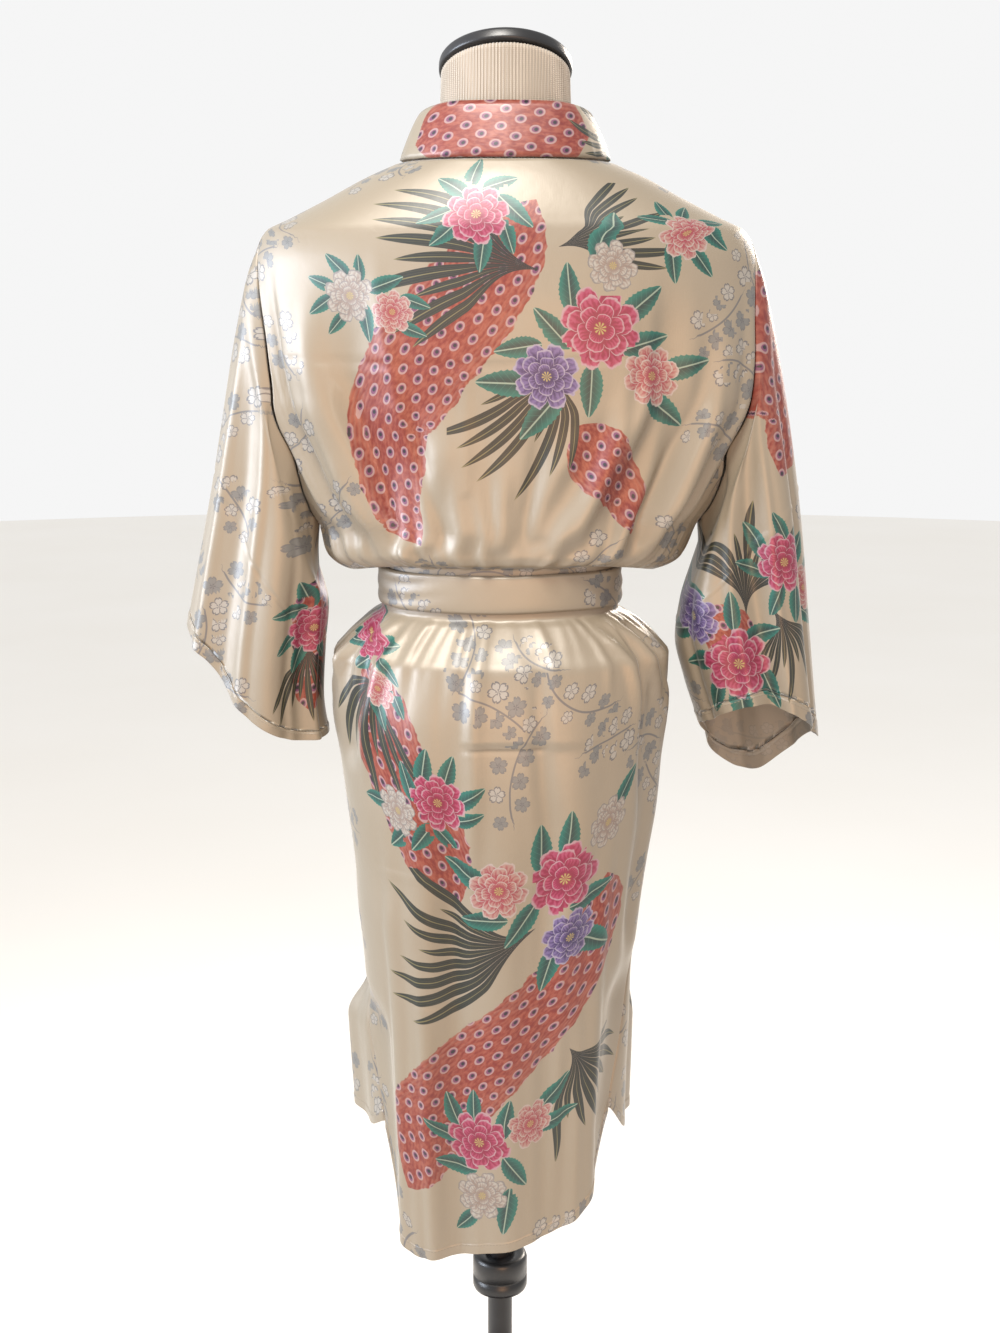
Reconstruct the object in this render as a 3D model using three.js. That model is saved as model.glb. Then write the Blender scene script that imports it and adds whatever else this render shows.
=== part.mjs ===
// Satin kimono robe, belted, on a limbless dress form with a round base.
// Sizes are in millimetres. +Z is up, the front of the robe faces -Y, and +X is
// the wearer's left. The floor is z = 0, under the middle of the base plate.
import * as THREE from "three";

// Driving sizes
const CLOTH = 1.6; // wall of one satin panel
const BAND_CLOTH = 2.4; // wall of the doubled neck band and belt
const SEAM_GAP = 0.3;
const BAND_WIDTH = 50;
const BELT_WIDTH = 36;
const WAIST_Z = 1026;
const NECK_Z = 1409;
const WRAP_STEP = 4.2; // the right front lies this far under the left front
const POLE_RADIUS = 12.5;
const BASE_RADIUS = 190;
const BASE_THICK = 8;

// Worked out from them
const BELT_LIFT = BAND_CLOTH + SEAM_GAP + 0.3;
const RAD = Math.PI / 180;

// Level sections of the robe body, cloth middle. A section is a rounded oval:
// half width, sideways shift, depth to the back and to the front, squareness,
// and how far the cloth droops at the two sides.
const BODY = [
  { z: 1409, half: 97, shift: -5, back: 70, front: 36, square: 2.0, droop: 0 },
  { z: 1395, half: 129, shift: -5, back: 78, front: 50, square: 2.0, droop: 0 },
  { z: 1377, half: 163, shift: -5, back: 86, front: 66, square: 2.0, droop: 0 },
  { z: 1360, half: 197, shift: -5, back: 92, front: 80, square: 2.0, droop: 0 },
  { z: 1349, half: 219, shift: -5, back: 95, front: 88, square: 2.0, droop: 0 },
  { z: 1320, half: 233, shift: -6, back: 99, front: 101, square: 2.0, droop: 0 },
  { z: 1280, half: 237, shift: -8, back: 102, front: 115, square: 2.0, droop: 0 },
  { z: 1240, half: 238, shift: -10, back: 101, front: 123, square: 2.0, droop: 0 },
  { z: 1200, half: 236, shift: -12, back: 98, front: 122, square: 2.0, droop: 0 },
  { z: 1150, half: 216, shift: -11, back: 95, front: 115, square: 2.0, droop: 0 },
  { z: 1110, half: 197, shift: -9, back: 94, front: 110, square: 2.0, droop: 0 },
  { z: 1083, half: 178, shift: -8, back: 95, front: 107, square: 2.0, droop: 0 },
  { z: 1062, half: 164, shift: -4, back: 95, front: 104, square: 2.1, droop: 10 },
  { z: 1054, half: 143, shift: -3, back: 92, front: 98, square: 2.1, droop: 14 },
  { z: 1049, half: 112.2, shift: 0, back: 80.2, front: 91.2, square: 2.2, droop: 0 },
  { z: 1026, half: 112, shift: 0, back: 80, front: 91, square: 2.2, droop: 0 },
  { z: 1003, half: 112.2, shift: 0, back: 80.2, front: 91.2, square: 2.2, droop: 0 },
  { z: 996, half: 131, shift: 0, back: 90, front: 97, square: 2.2, droop: 0 },
  { z: 984, half: 147, shift: 0, back: 101, front: 105, square: 2.2, droop: 0 },
  { z: 960, half: 159, shift: 0, back: 112, front: 115, square: 2.2, droop: 0 },
  { z: 909, half: 160, shift: 1, back: 122, front: 122, square: 2.2, droop: 0 },
  { z: 859, half: 155, shift: -1, back: 124, front: 124, square: 2.2, droop: 0 },
  { z: 809, half: 150, shift: -2, back: 122, front: 123, square: 2.3, droop: 0 },
  { z: 757, half: 143, shift: -1, back: 119, front: 121, square: 2.3, droop: 0 },
  { z: 705, half: 138, shift: 1, back: 117, front: 119, square: 2.4, droop: 0 },
  { z: 653, half: 133, shift: 1, back: 114, front: 118, square: 2.4, droop: 0 },
  { z: 600, half: 131, shift: 0, back: 112, front: 117, square: 2.4, droop: 0 },
  { z: 487, half: 130, shift: 0, back: 109, front: 115, square: 2.4, droop: 0 },
  { z: 374, half: 128, shift: 0, back: 108, front: 113, square: 2.4, droop: 0 },
];

// Largest folds of the body. Turn counts round the body in degrees: 0 is the
// wearer's left side, 90 the back, 180 the right side, 270 the front. A fold
// runs from one turn at its top to another at its foot; a positive depth
// stands out. A fold that is open runs off the hem at its full depth.
const BODY_FOLDS = [
  { top: 1310, foot: 1058, from: 34, to: 46, width: 11, depth: 8, open: false },
  { top: 1330, foot: 1062, from: 50, to: 62, width: 9, depth: -6, open: false },
  { top: 1200, foot: 1058, from: 74, to: 80, width: 9, depth: 5, open: false },
  { top: 1180, foot: 1060, from: 106, to: 100, width: 9, depth: 5, open: false },
  { top: 1330, foot: 1062, from: 128, to: 118, width: 9, depth: -6, open: false },
  { top: 1310, foot: 1058, from: 146, to: 136, width: 11, depth: 8, open: false },
  { top: 1300, foot: 1060, from: 222, to: 232, width: 12, depth: 6, open: false },
  { top: 1300, foot: 1060, from: 318, to: 308, width: 12, depth: 6, open: false },
  { top: 1002, foot: 850, from: 40, to: 22, width: 13, depth: -8, open: false },
  { top: 1002, foot: 640, from: 150, to: 158, width: 13, depth: -8, open: false },
  { top: 990, foot: 470, from: 66, to: 58, width: 14, depth: 5, open: true },
  { top: 985, foot: 470, from: 112, to: 118, width: 15, depth: 5, open: true },
  { top: 990, foot: 470, from: 228, to: 222, width: 14, depth: 6, open: true },
  { top: 990, foot: 470, from: 312, to: 316, width: 14, depth: 6, open: true },
  { top: 620, foot: 470, from: 342, to: 336, width: 30, depth: 27, open: true },
  { top: 620, foot: 470, from: 200, to: 204, width: 26, depth: 9, open: true },
  { top: 640, foot: 480, from: 18, to: 26, width: 26, depth: -15, open: true },
  { top: 680, foot: 500, from: 160, to: 148, width: 28, depth: -15, open: true },
];

// How far behind the middle of the side each side seam lies
const LEFT_SEAM = [
  { z: 1083, y: 0 },
  { z: 640, y: 0 },
  { z: 580, y: 8 },
  { z: 530, y: 24 },
  { z: 486, y: 38 },
  { z: 374, y: 44 },
];
const RIGHT_SEAM = [
  { z: 1083, y: 0 },
  { z: 740, y: 0 },
  { z: 650, y: 14 },
  { z: 580, y: 34 },
  { z: 507, y: 54 },
  { z: 374, y: 58 },
];

const ARMHOLE = { top: 1349, foot: 1083, back: 40, front: 42 };

// Hem heights across each panel, from its left edge (0) to its right edge (1)
const BACK_HEM = [
  { across: 0, z: 486 },
  { across: 0.04, z: 446 },
  { across: 0.1, z: 407 },
  { across: 0.19, z: 382 },
  { across: 0.3, z: 374 },
  { across: 0.46, z: 381 },
  { across: 0.62, z: 395 },
  { across: 0.8, z: 426 },
  { across: 0.93, z: 470 },
  { across: 1, z: 507 },
];
const LEFT_FRONT_HEM = [
  { across: 0, z: 486 },
  { across: 0.14, z: 471 },
  { across: 0.5, z: 470 },
  { across: 1, z: 468 },
];
const RIGHT_FRONT_HEM = [
  { across: 0, z: 507 },
  { across: 0.16, z: 473 },
  { across: 0.5, z: 470 },
  { across: 1, z: 468 },
];

// Where the neck band is sewn to a front, measured from the middle of the
// section towards that front's own side
const FRONT_EDGE = [
  { z: 1409, x: 93 },
  { z: 1380, x: 90 },
  { z: 1340, x: 82 },
  { z: 1290, x: 66 },
  { z: 1230, x: 46 },
  { z: 1150, x: 20 },
  { z: 1085, x: 0 },
  { z: 1046, x: -10 },
  { z: 1000, x: -16 },
  { z: 900, x: -20 },
  { z: 468, x: -24 },
];

// Free edge of the neck band where it stands round the neck and turns over on
// to the chest, from the middle of the back to the left front
const BAND_TURN = [
  { turn: 90, seamZ: 1409, x: 0, y: 56, z: 1459 },
  { turn: 62, seamZ: 1409, x: 39, y: 50, z: 1459 },
  { turn: 34, seamZ: 1409, x: 67, y: 30, z: 1456 },
  { turn: 8, seamZ: 1409, x: 79, y: 4, z: 1450 },
  { turn: -14, seamZ: 1409, x: 77, y: -22, z: 1447 },
  { turn: "edge", seamZ: 1400, x: 66, y: -46, z: 1438 },
  { turn: "edge", seamZ: 1384, x: 55, y: -65, z: 1415 },
  { turn: "edge", seamZ: 1364, x: 42, y: -84, z: 1386 },
];

// The sleeves: the line of the outer fold, the line of the inner fold, depth to
// the back and front of the line between them, and how far the middle of the
// back half and of the front half hang below that line.
const LEFT_SLEEVE = {
  side: 1,
  rows: [
    { at: 0, outX: 216, outZ: 1349, inX: 172, inZ: 1083, midY: 0, back: 40, front: 42, backDrop: 0, frontDrop: 0 },
    { at: 0.12, outX: 231, outZ: 1312, inX: 173, inZ: 1062, midY: 0, back: 43, front: 46, backDrop: 0, frontDrop: 0 },
    { at: 0.28, outX: 243, outZ: 1262, inX: 171, inZ: 1030, midY: -2, back: 46, front: 50, backDrop: 0, frontDrop: 0 },
    { at: 0.46, outX: 257, outZ: 1190, inX: 163, inZ: 1002, midY: -4, back: 49, front: 53, backDrop: 6, frontDrop: 4 },
    { at: 0.66, outX: 271, outZ: 1116, inX: 167, inZ: 962, midY: -6, back: 52, front: 56, backDrop: 14, frontDrop: 10 },
    { at: 0.85, outX: 287, outZ: 1042, inX: 170, inZ: 912, midY: -8, back: 54, front: 58, backDrop: 24, frontDrop: 16 },
    { at: 1, outX: 299, outZ: 986, inX: 166, inZ: 876, midY: -8, back: 54, front: 60, backDrop: 32, frontDrop: 20 },
  ],
  folds: [
    { turn: 58, width: 24, depth: -9, from: 0.05, to: 1 },
    { turn: 100, width: 22, depth: 6, from: 0.2, to: 1 },
    { turn: 134, width: 18, depth: -6, from: 0.3, to: 1 },
    { turn: 250, width: 26, depth: 7, from: 0.15, to: 1 },
    { turn: 300, width: 24, depth: -7, from: 0.1, to: 1 },
  ],
};
const RIGHT_SLEEVE = {
  side: -1,
  rows: [
    { at: 0, outX: -224, outZ: 1349, inX: -188, inZ: 1083, midY: 0, back: 40, front: 42, backDrop: 0, frontDrop: 0 },
    { at: 0.12, outX: -240, outZ: 1308, inX: -189, inZ: 1064, midY: -1, back: 44, front: 48, backDrop: 0, frontDrop: 0 },
    { at: 0.28, outX: -256, outZ: 1246, inX: -182, inZ: 1036, midY: -3, back: 50, front: 56, backDrop: 0, frontDrop: 4 },
    { at: 0.46, outX: -271, outZ: 1170, inX: -172, inZ: 1006, midY: -5, back: 56, front: 64, backDrop: -6, frontDrop: 12 },
    { at: 0.66, outX: -285, outZ: 1078, inX: -168, inZ: 970, midY: -7, back: 61, front: 72, backDrop: -14, frontDrop: 28 },
    { at: 0.85, outX: -297, outZ: 970, inX: -178, inZ: 928, midY: -9, back: 64, front: 78, backDrop: -26, frontDrop: 46 },
    { at: 1, outX: -308, outZ: 873, inX: -192, inZ: 888, midY: -10, back: 66, front: 80, backDrop: -36, frontDrop: 64 },
  ],
  folds: [
    { turn: 52, width: 24, depth: 6, from: 0.1, to: 1 },
    { turn: 84, width: 20, depth: -10, from: 0.05, to: 1 },
    { turn: 126, width: 22, depth: 7, from: 0.2, to: 1 },
    { turn: 244, width: 26, depth: 8, from: 0.2, to: 1 },
    { turn: 292, width: 24, depth: -8, from: 0.15, to: 1 },
  ],
};

// Level sections of the dress form. Tilt lifts the back of a section.
const FORM = [
  { z: 738, half: 100, back: 78, front: 72, tilt: 0 },
  { z: 745, half: 119, back: 92, front: 85, tilt: 0 },
  { z: 765, half: 128, back: 101, front: 93, tilt: 0 },
  { z: 810, half: 138, back: 109, front: 101, tilt: 0 },
  { z: 860, half: 143, back: 111, front: 103, tilt: 0 },
  { z: 915, half: 138, back: 105, front: 98, tilt: 0 },
  { z: 970, half: 118, back: 88, front: 86, tilt: 0 },
  { z: 1026, half: 102, back: 72, front: 78, tilt: 0 },
  { z: 1080, half: 110, back: 77, front: 84, tilt: 0 },
  { z: 1150, half: 126, back: 83, front: 97, tilt: 0 },
  { z: 1210, half: 137, back: 86, front: 109, tilt: 0 },
  { z: 1245, half: 141, back: 88, front: 112, tilt: 0 },
  { z: 1290, half: 152, back: 89, front: 99, tilt: 0 },
  { z: 1325, half: 168, back: 87, front: 83, tilt: 0 },
  { z: 1350, half: 176, back: 83, front: 70, tilt: 0 },
  { z: 1364, half: 174, back: 79, front: 60, tilt: 0 },
  { z: 1377, half: 159.5, back: 74, front: 50, tilt: 0 },
  { z: 1395, half: 125.5, back: 66, front: 40, tilt: 0 },
  { z: 1409, half: 92, back: 60, front: 30, tilt: 0 },
  { z: 1420, half: 70, back: 53, front: 33, tilt: 0.05 },
  { z: 1438, half: 61, back: 49, front: 42, tilt: 0.18 },
  { z: 1462, half: 59, back: 49, front: 46, tilt: 0.32 },
  { z: 1487, half: 58, back: 50, front: 48, tilt: 0.46 },
];
const NECK_SHIFT = -5;
const CAP = { lip: 2, height: 13, rise: 5 };

// Reads a table as smooth curves that never overshoot its rows
function curves(rows, along) {
  const order = [...rows].sort((a, b) => a[along] - b[along]);
  const places = order.map((row) => row[along]);
  const slopesOf = {};
  function slopes(name) {
    if (slopesOf[name]) return slopesOf[name];
    const steps = places.slice(1).map((p, i) => (order[i + 1][name] - order[i][name]) / (p - places[i]));
    const found = places.map((_, i) => {
      const before = steps[i - 1];
      const after = steps[i];
      if (before === undefined) return after;
      if (after === undefined) return before;
      return before * after <= 0 ? 0 : (2 * before * after) / (before + after);
    });
    slopesOf[name] = found;
    return found;
  }
  return (name, place) => {
    const last = places.length - 1;
    if (place <= places[0]) return order[0][name];
    if (place >= places[last]) return order[last][name];
    let i = 0;
    while (places[i + 1] < place) i += 1;
    const span = places[i + 1] - places[i];
    const t = (place - places[i]) / span;
    const m = slopes(name);
    const t2 = t * t;
    const t3 = t2 * t;
    return (
      (2 * t3 - 3 * t2 + 1) * order[i][name] +
      (t3 - 2 * t2 + t) * span * m[i] +
      (3 * t2 - 2 * t3) * order[i + 1][name] +
      (t3 - t2) * span * m[i + 1]
    );
  };
}

const body = curves(BODY, "z");
const form = curves(FORM, "z");
const leftSeam = curves(LEFT_SEAM, "z");
const rightSeam = curves(RIGHT_SEAM, "z");
const frontEdge = curves(FRONT_EDGE, "z");

const mix = (a, b, t) => a + (b - a) * t;
const ease = (t) => {
  const c = Math.min(1, Math.max(0, t));
  return c * c * (3 - 2 * c);
};
const power = (value, exponent) => Math.sign(value) * Math.abs(value) ** exponent;
const hump = (distance, width) => (Math.abs(distance) < width ? (1 + Math.cos((Math.PI * distance) / width)) / 2 : 0);
const around = (degrees) => ((((degrees + 180) % 360) + 360) % 360) - 180;

function bodyFold(turn, z) {
  let sum = 0;
  for (const fold of BODY_FOLDS) {
    const down = (fold.top - z) / (fold.top - fold.foot);
    if (down <= 0 || (down >= 1 && !fold.open)) continue;
    const at = mix(fold.from, fold.to, Math.min(1, down));
    const start = ease(down / 0.35);
    const end = fold.open ? 1 : ease((1 - down) / 0.2);
    sum += fold.depth * start * end * hump(around(turn - at), fold.width);
  }
  return sum;
}

function bodyPoint(turn, z, lift = 0) {
  const c = Math.cos(turn * RAD);
  const s = Math.sin(turn * RAD);
  const bend = 2 / body("square", z);
  const out = lift + bodyFold(turn, z);
  const depth = body(s > 0 ? "back" : "front", z);
  const x = body("shift", z) + (body("half", z) + out) * power(c, bend);
  const y = (depth + out) * power(s, bend);
  return new THREE.Vector3(x, y, z - body("droop", z) * c ** 4);
}

function bodyNormal(turn, z, lift = 0) {
  const along = bodyPoint(turn + 0.6, z, lift).sub(bodyPoint(turn - 0.6, z, lift));
  const up = bodyPoint(turn, z + 1.5, lift).sub(bodyPoint(turn, z - 1.5, lift));
  return along.cross(up).normalize();
}

// Turn at which a section has the given y, on the left (+1) or right (-1) side
function turnAtY(side, y, z) {
  const depth = body(y > 0 ? "back" : "front", z);
  const lean = Math.asin(power(y / depth, body("square", z) / 2)) / RAD;
  return side > 0 ? lean : 180 - lean;
}

// Turn at which the front of a section lies the given way from its middle
function turnAtX(side, x, z) {
  const share = Math.max(-1, Math.min(1, x / body("half", z)));
  const lean = Math.acos(power(share, body("square", z) / 2)) / RAD;
  return side > 0 ? -lean : 360 - lean;
}

// Depth of the armhole edge at a height: 0 outside it
function armholeReach(face, z) {
  const middle = (ARMHOLE.top + ARMHOLE.foot) / 2;
  const reach = (ARMHOLE.top - ARMHOLE.foot) / 2;
  const level = (z - middle) / reach;
  return Math.abs(level) >= 1 ? 0 : ARMHOLE[face] * Math.sqrt(1 - level * level);
}

function sideTurn(side, face, z) {
  const seam = side > 0 ? leftSeam("y", z) : rightSeam("y", z);
  const away = armholeReach(face, z) + (z < 720 ? SEAM_GAP : SEAM_GAP / 2);
  return turnAtY(side, seam + (face === "back" ? away : -away), z);
}

// A closed wall from a grid of middles and normals
function wall(grid, thick, closed = false) {
  const rows = grid.length;
  const columns = grid[0].length;
  const positions = [];
  for (const way of [0.5, -0.5]) {
    for (const row of grid) {
      for (const { point, normal } of row) {
        const p = point.clone().addScaledVector(normal, way * thick);
        positions.push(p.x, p.y, p.z);
      }
    }
  }
  const faces = [];
  const count = rows * columns;
  const quad = (a, b, c, d) => faces.push(a, b, c, a, c, d);
  const turns = closed ? columns : columns - 1;
  for (let j = 0; j < rows - 1; j += 1) {
    for (let i = 0; i < turns; i += 1) {
      const a = j * columns + i;
      const b = j * columns + ((i + 1) % columns);
      const c = b + columns;
      const d = a + columns;
      quad(a, b, c, d);
      quad(count + a, count + d, count + c, count + b);
    }
  }
  for (let i = 0; i < turns; i += 1) {
    const next = (i + 1) % columns;
    const low = (rows - 1) * columns;
    quad(i, count + i, count + next, next);
    quad(low + next, count + low + next, count + low + i, low + i);
  }
  for (let j = 0; j < rows - 1 && !closed; j += 1) {
    const a = j * columns;
    const b = a + columns;
    const c = a + columns - 1;
    const d = c + columns;
    quad(b, count + b, count + a, a);
    quad(c, count + c, count + d, d);
  }
  return solid(positions, faces);
}

// A filled body through level rings, closed at both ends
function filled(rings) {
  const around = rings[0].length;
  const positions = rings.flat().flatMap((p) => [p.x, p.y, p.z]);
  const faces = [];
  for (let j = 0; j < rings.length - 1; j += 1) {
    for (let i = 0; i < around; i += 1) {
      const a = j * around + i;
      const b = j * around + ((i + 1) % around);
      faces.push(a, b, b + around, a, b + around, a + around);
    }
  }
  for (const [ring, start, flip] of [[rings[0], 0, true], [rings.at(-1), (rings.length - 1) * around, false]]) {
    const middle = ring.reduce((sum, p) => sum.add(p), new THREE.Vector3()).divideScalar(around);
    const hub = positions.length / 3;
    positions.push(middle.x, middle.y, middle.z);
    for (let i = 0; i < around; i += 1) {
      const a = start + i;
      const b = start + ((i + 1) % around);
      if (flip) faces.push(b, a, hub);
      else faces.push(a, b, hub);
    }
  }
  return solid(positions, faces);
}

function solid(positions, faces) {
  const corner = (i) => new THREE.Vector3(...positions.slice(3 * i, 3 * i + 3));
  let volume = 0;
  for (let i = 0; i < faces.length; i += 3) {
    volume += corner(faces[i]).dot(corner(faces[i + 1]).cross(corner(faces[i + 2])));
  }
  const outward = volume > 0 ? faces : [...faces].reverse();
  const geometry = new THREE.BufferGeometry();
  geometry.setAttribute("position", new THREE.Float32BufferAttribute(positions, 3));
  geometry.setIndex(outward);
  geometry.computeVertexNormals();
  return geometry;
}

// Heights of the rows of every body panel, down to where the hems begin
const PANEL_ROWS = [
  1400, 1390, 1378, 1364, 1348, 1340, 1324, 1298, 1268, 1234, 1200, 1166, 1136, 1112, 1095, 1083,
  1072, 1063, 1057, 1052, 1049, 1026, 1003, 998, 990, 977, 958, 930, 895, 840, 780, 720, 660, 604, 560, 524,
];
const HEM_START = 524;
const HEM_ROWS = 4;

function panel(columns, topZ, turnOf, hemRows, liftOf) {
  const hem = curves(hemRows, "across");
  const heights = [topZ, ...PANEL_ROWS.filter((z) => z < topZ - 3)];
  const grid = [];
  const place = (across, z) => {
    const turn = turnOf(across, z);
    const lift = liftOf(turn, z);
    const point = bodyPoint(turn, z, lift);
    const beside = bodyPoint(turn + 0.6, z, liftOf(turn + 0.6, z)).sub(bodyPoint(turn - 0.6, z, liftOf(turn - 0.6, z)));
    const up = bodyPoint(turn, z + 1.5, liftOf(turn, z + 1.5)).sub(bodyPoint(turn, z - 1.5, liftOf(turn, z - 1.5)));
    return { point, normal: beside.cross(up).normalize() };
  };
  const shares = Array.from({ length: columns }, (_, i) => i / (columns - 1));
  for (const z of heights) grid.push(shares.map((across) => place(across, z)));
  for (let k = 1; k <= HEM_ROWS; k += 1) {
    grid.push(shares.map((across) => place(across, mix(HEM_START, hem("z", across), k / HEM_ROWS))));
  }
  return grid;
}

const noLift = () => 0;

// The right front and its band slip under the left front below the chest
function underLift(turn, z) {
  const pastSeam = turn - sideTurn(-1, "front", z);
  const step = WRAP_STEP + 2.2 * hump(z - 1052, 12);
  return -step * ease((pastSeam - 2) / 22) * ease((1305 - z) / 50);
}

function backPanel() {
  const turnOf = (across, z) => mix(sideTurn(1, "back", z), sideTurn(-1, "back", z), across);
  return wall(panel(27, NECK_Z, turnOf, BACK_HEM, noLift), CLOTH);
}

function frontTurn(side, across, z) {
  const start = sideTurn(side, "front", z);
  const end = turnAtX(side, side * frontEdge("x", z), z);
  return mix(start, end, across);
}

function frontPanel(side) {
  const hem = side > 0 ? LEFT_FRONT_HEM : RIGHT_FRONT_HEM;
  const lift = side > 0 ? noLift : underLift;
  const turnOf = (across, z) => frontTurn(side, across, z);
  return wall(panel(14, NECK_Z, turnOf, hem, lift), CLOTH);
}

// One sleeve
function sleeveReader(sleeve) {
  const row = curves(sleeve.rows, "at");
  const plain = (turn, at) => {
    const c = Math.cos(turn * RAD);
    const s = Math.sin(turn * RAD);
    const face = s > 0 ? "back" : "front";
    const x = (row("outX", at) + row("inX", at)) / 2 + (c * (row("outX", at) - row("inX", at))) / 2;
    const drop = row(face + "Drop", at) * s * s;
    const z = (row("outZ", at) + row("inZ", at)) / 2 + (c * (row("outZ", at) - row("inZ", at))) / 2 - drop;
    let out = 0;
    for (const fold of sleeve.folds) {
      const grow = ease((at - fold.from) / (fold.to - fold.from) / 0.6);
      out += fold.depth * grow * hump(around(turn - fold.turn), fold.width);
    }
    const y = row("midY", at) + (row(face, at) + out) * power(s, 0.9);
    return new THREE.Vector3(x + sleeve.side * out * c, y, z);
  };
  const seamAt = (turn) => {
    const middle = (ARMHOLE.top + ARMHOLE.foot) / 2;
    const reach = (ARMHOLE.top - ARMHOLE.foot) / 2;
    const z = middle + reach * 0.9995 * Math.cos(turn * RAD);
    const s = Math.sin(turn * RAD);
    const y = (s > 0 ? ARMHOLE.back : ARMHOLE.front) * s;
    return { turn: turnAtY(sleeve.side, y, z), z };
  };
  const normalOf = (pointAt, turn, at) => {
    const low = Math.max(0, at - 0.01);
    const high = Math.min(1, at + 0.01);
    const beside = pointAt(turn + 1, at).sub(pointAt(turn - 1, at));
    const down = pointAt(turn, high).sub(pointAt(turn, low));
    return down.cross(beside).multiplyScalar(sleeve.side).normalize();
  };
  const joined = (turn, at) => {
    const seam = seamAt(turn);
    const gapless = bodyPoint(seam.turn, seam.z).sub(plain(turn, 0));
    return plain(turn, at).addScaledVector(gapless, 1 - ease(at / 0.35));
  };
  const pointAt = (turn, at) => {
    const seam = seamAt(turn);
    const facing = bodyNormal(seam.turn, seam.z).dot(normalOf(joined, turn, 0.02));
    const gap = SEAM_GAP + 0.85 + 0.5 * hump(around(turn), 40) + (CLOTH / 2) * (1 - facing);
    return joined(turn, at).add(new THREE.Vector3(sleeve.side * gap, 0, 0));
  };
  return { pointAt, normalAt: (turn, at) => normalOf(pointAt, turn, at) };
}

const SLEEVE_COLUMNS = 28;

function sleevePiece(sleeve) {
  const { pointAt, normalAt } = sleeveReader(sleeve);
  const steps = [0, 0.04, 0.09, 0.16, 0.24, 0.33, 0.43, 0.53, 0.63, 0.73, 0.83, 0.92, 1];
  const grid = steps.map((at) =>
    Array.from({ length: SLEEVE_COLUMNS }, (_, i) => {
      const turn = (360 * i) / SLEEVE_COLUMNS;
      return { point: pointAt(turn, at), normal: normalAt(turn, at) };
    })
  );
  return wall(grid, CLOTH, true);
}

// The neck band, from the right front hem round the neck to the left front hem
const BAND_ROWS = [
  468, 524, 560, 604, 660, 720, 780, 840, 895, 930, 958, 977, 990, 998, 1003, 1026, 1049, 1056, 1066, 1083,
  1110, 1150, 1190, 1230, 1270, 1310, 1342,
];

function bandOnFront(side, z) {
  const lift = side > 0 ? noLift : underLift;
  const seamX = frontEdge("x", z) - SEAM_GAP - 0.5;
  const slant = 10 * ease((z - 1040) / 120);
  return [0, 0.5, 1].map((share) => {
    const level = z - slant * share;
    const turn = turnAtX(side, side * (seamX - BAND_WIDTH * share), level);
    return bodyPoint(turn, level, lift(turn, level));
  });
}

function bandRoundNeck(side, row) {
  const onEdge = row.turn === "edge";
  const own = side > 0 ? row.turn : 180 - row.turn;
  const edgeX = side * (frontEdge("x", row.seamZ) - SEAM_GAP);
  const seam = bodyPoint(onEdge ? turnAtX(side, edgeX, row.seamZ) : own, row.seamZ);
  const free = new THREE.Vector3(NECK_SHIFT + side * row.x, row.y, row.z);
  const lean = free.clone().sub(seam).normalize();
  const beside = onEdge ? 0.9 : Math.abs(Math.cos(row.turn * RAD));
  seam.addScaledVector(lean, SEAM_GAP + CLOTH / 2 + 0.4 + 0.9 * beside);
  return [seam, seam.clone().lerp(free, 0.5), free];
}

function bandStations() {
  const round = [...BAND_TURN].reverse();
  const half = (side) => [
    ...BAND_ROWS.map((z) => bandOnFront(side, z)),
    ...round.map((row) => bandRoundNeck(side, row)),
  ];
  return [...half(-1), ...half(1).slice(0, -1).reverse()];
}

function neckBand() {
  const rows = bandStations();
  const grid = rows.map((row, j) =>
    row.map((point, i) => {
      const before = rows[Math.max(0, j - 1)][i];
      const after = rows[Math.min(rows.length - 1, j + 1)][i];
      const along = after.clone().sub(before);
      const across = row[Math.min(2, i + 1)].clone().sub(row[Math.max(0, i - 1)]);
      return { point, normal: across.cross(along).normalize() };
    })
  );
  return wall(grid, BAND_CLOTH);
}

// Belt
function beltWaist() {
  const heights = [-0.5, -0.17, 0.17, 0.5].map((share) => share * BELT_WIDTH);
  const grid = heights.map((dz) =>
    Array.from({ length: 48 }, (_, i) => {
      const turn = 7.5 * i;
      const point = bodyPoint(turn, WAIST_Z, BELT_LIFT).setZ(WAIST_Z + dz);
      const normal = bodyNormal(turn, WAIST_Z, BELT_LIFT).setZ(0).normalize();
      return { point, normal };
    })
  );
  return wall(grid, BAND_CLOTH, true);
}

const KNOT = { width: 42, height: 44, depth: 22 };

function beltKnot() {
  const beltFace = body("front", WAIST_Z) + BELT_LIFT + BAND_CLOTH / 2;
  const middleY = -(beltFace + SEAM_GAP + BAND_CLOTH / 2 + KNOT.depth / 2);
  const slices = [-0.5, -0.3, 0, 0.3, 0.5];
  const grid = slices.map((share) =>
    Array.from({ length: 24 }, (_, i) => {
      const a = 15 * i * RAD;
      const pinch = 1 - 0.5 * share * share;
      const radial = new THREE.Vector3(0, power(Math.cos(a), 0.8), power(Math.sin(a), 0.8));
      const point = new THREE.Vector3(
        share * KNOT.width,
        middleY + (radial.y * KNOT.depth * pinch) / 2,
        WAIST_Z + (radial.z * KNOT.height * pinch) / 2
      );
      return { point, normal: new THREE.Vector3(0, radial.y / KNOT.depth, radial.z / KNOT.height).normalize() };
    })
  );
  return wall(grid, BAND_CLOTH, true);
}

const TAILS = [
  { name: "belt_tail_left", top: 3, foot: 28, length: 330 },
  { name: "belt_tail_right", top: -39, foot: -64, length: 300 },
];
const TAIL_LIFT = BAND_CLOTH + SEAM_GAP + 0.3;
const TAIL_HANG = 11; // further out than the skirt where it leaves the knot

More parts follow.
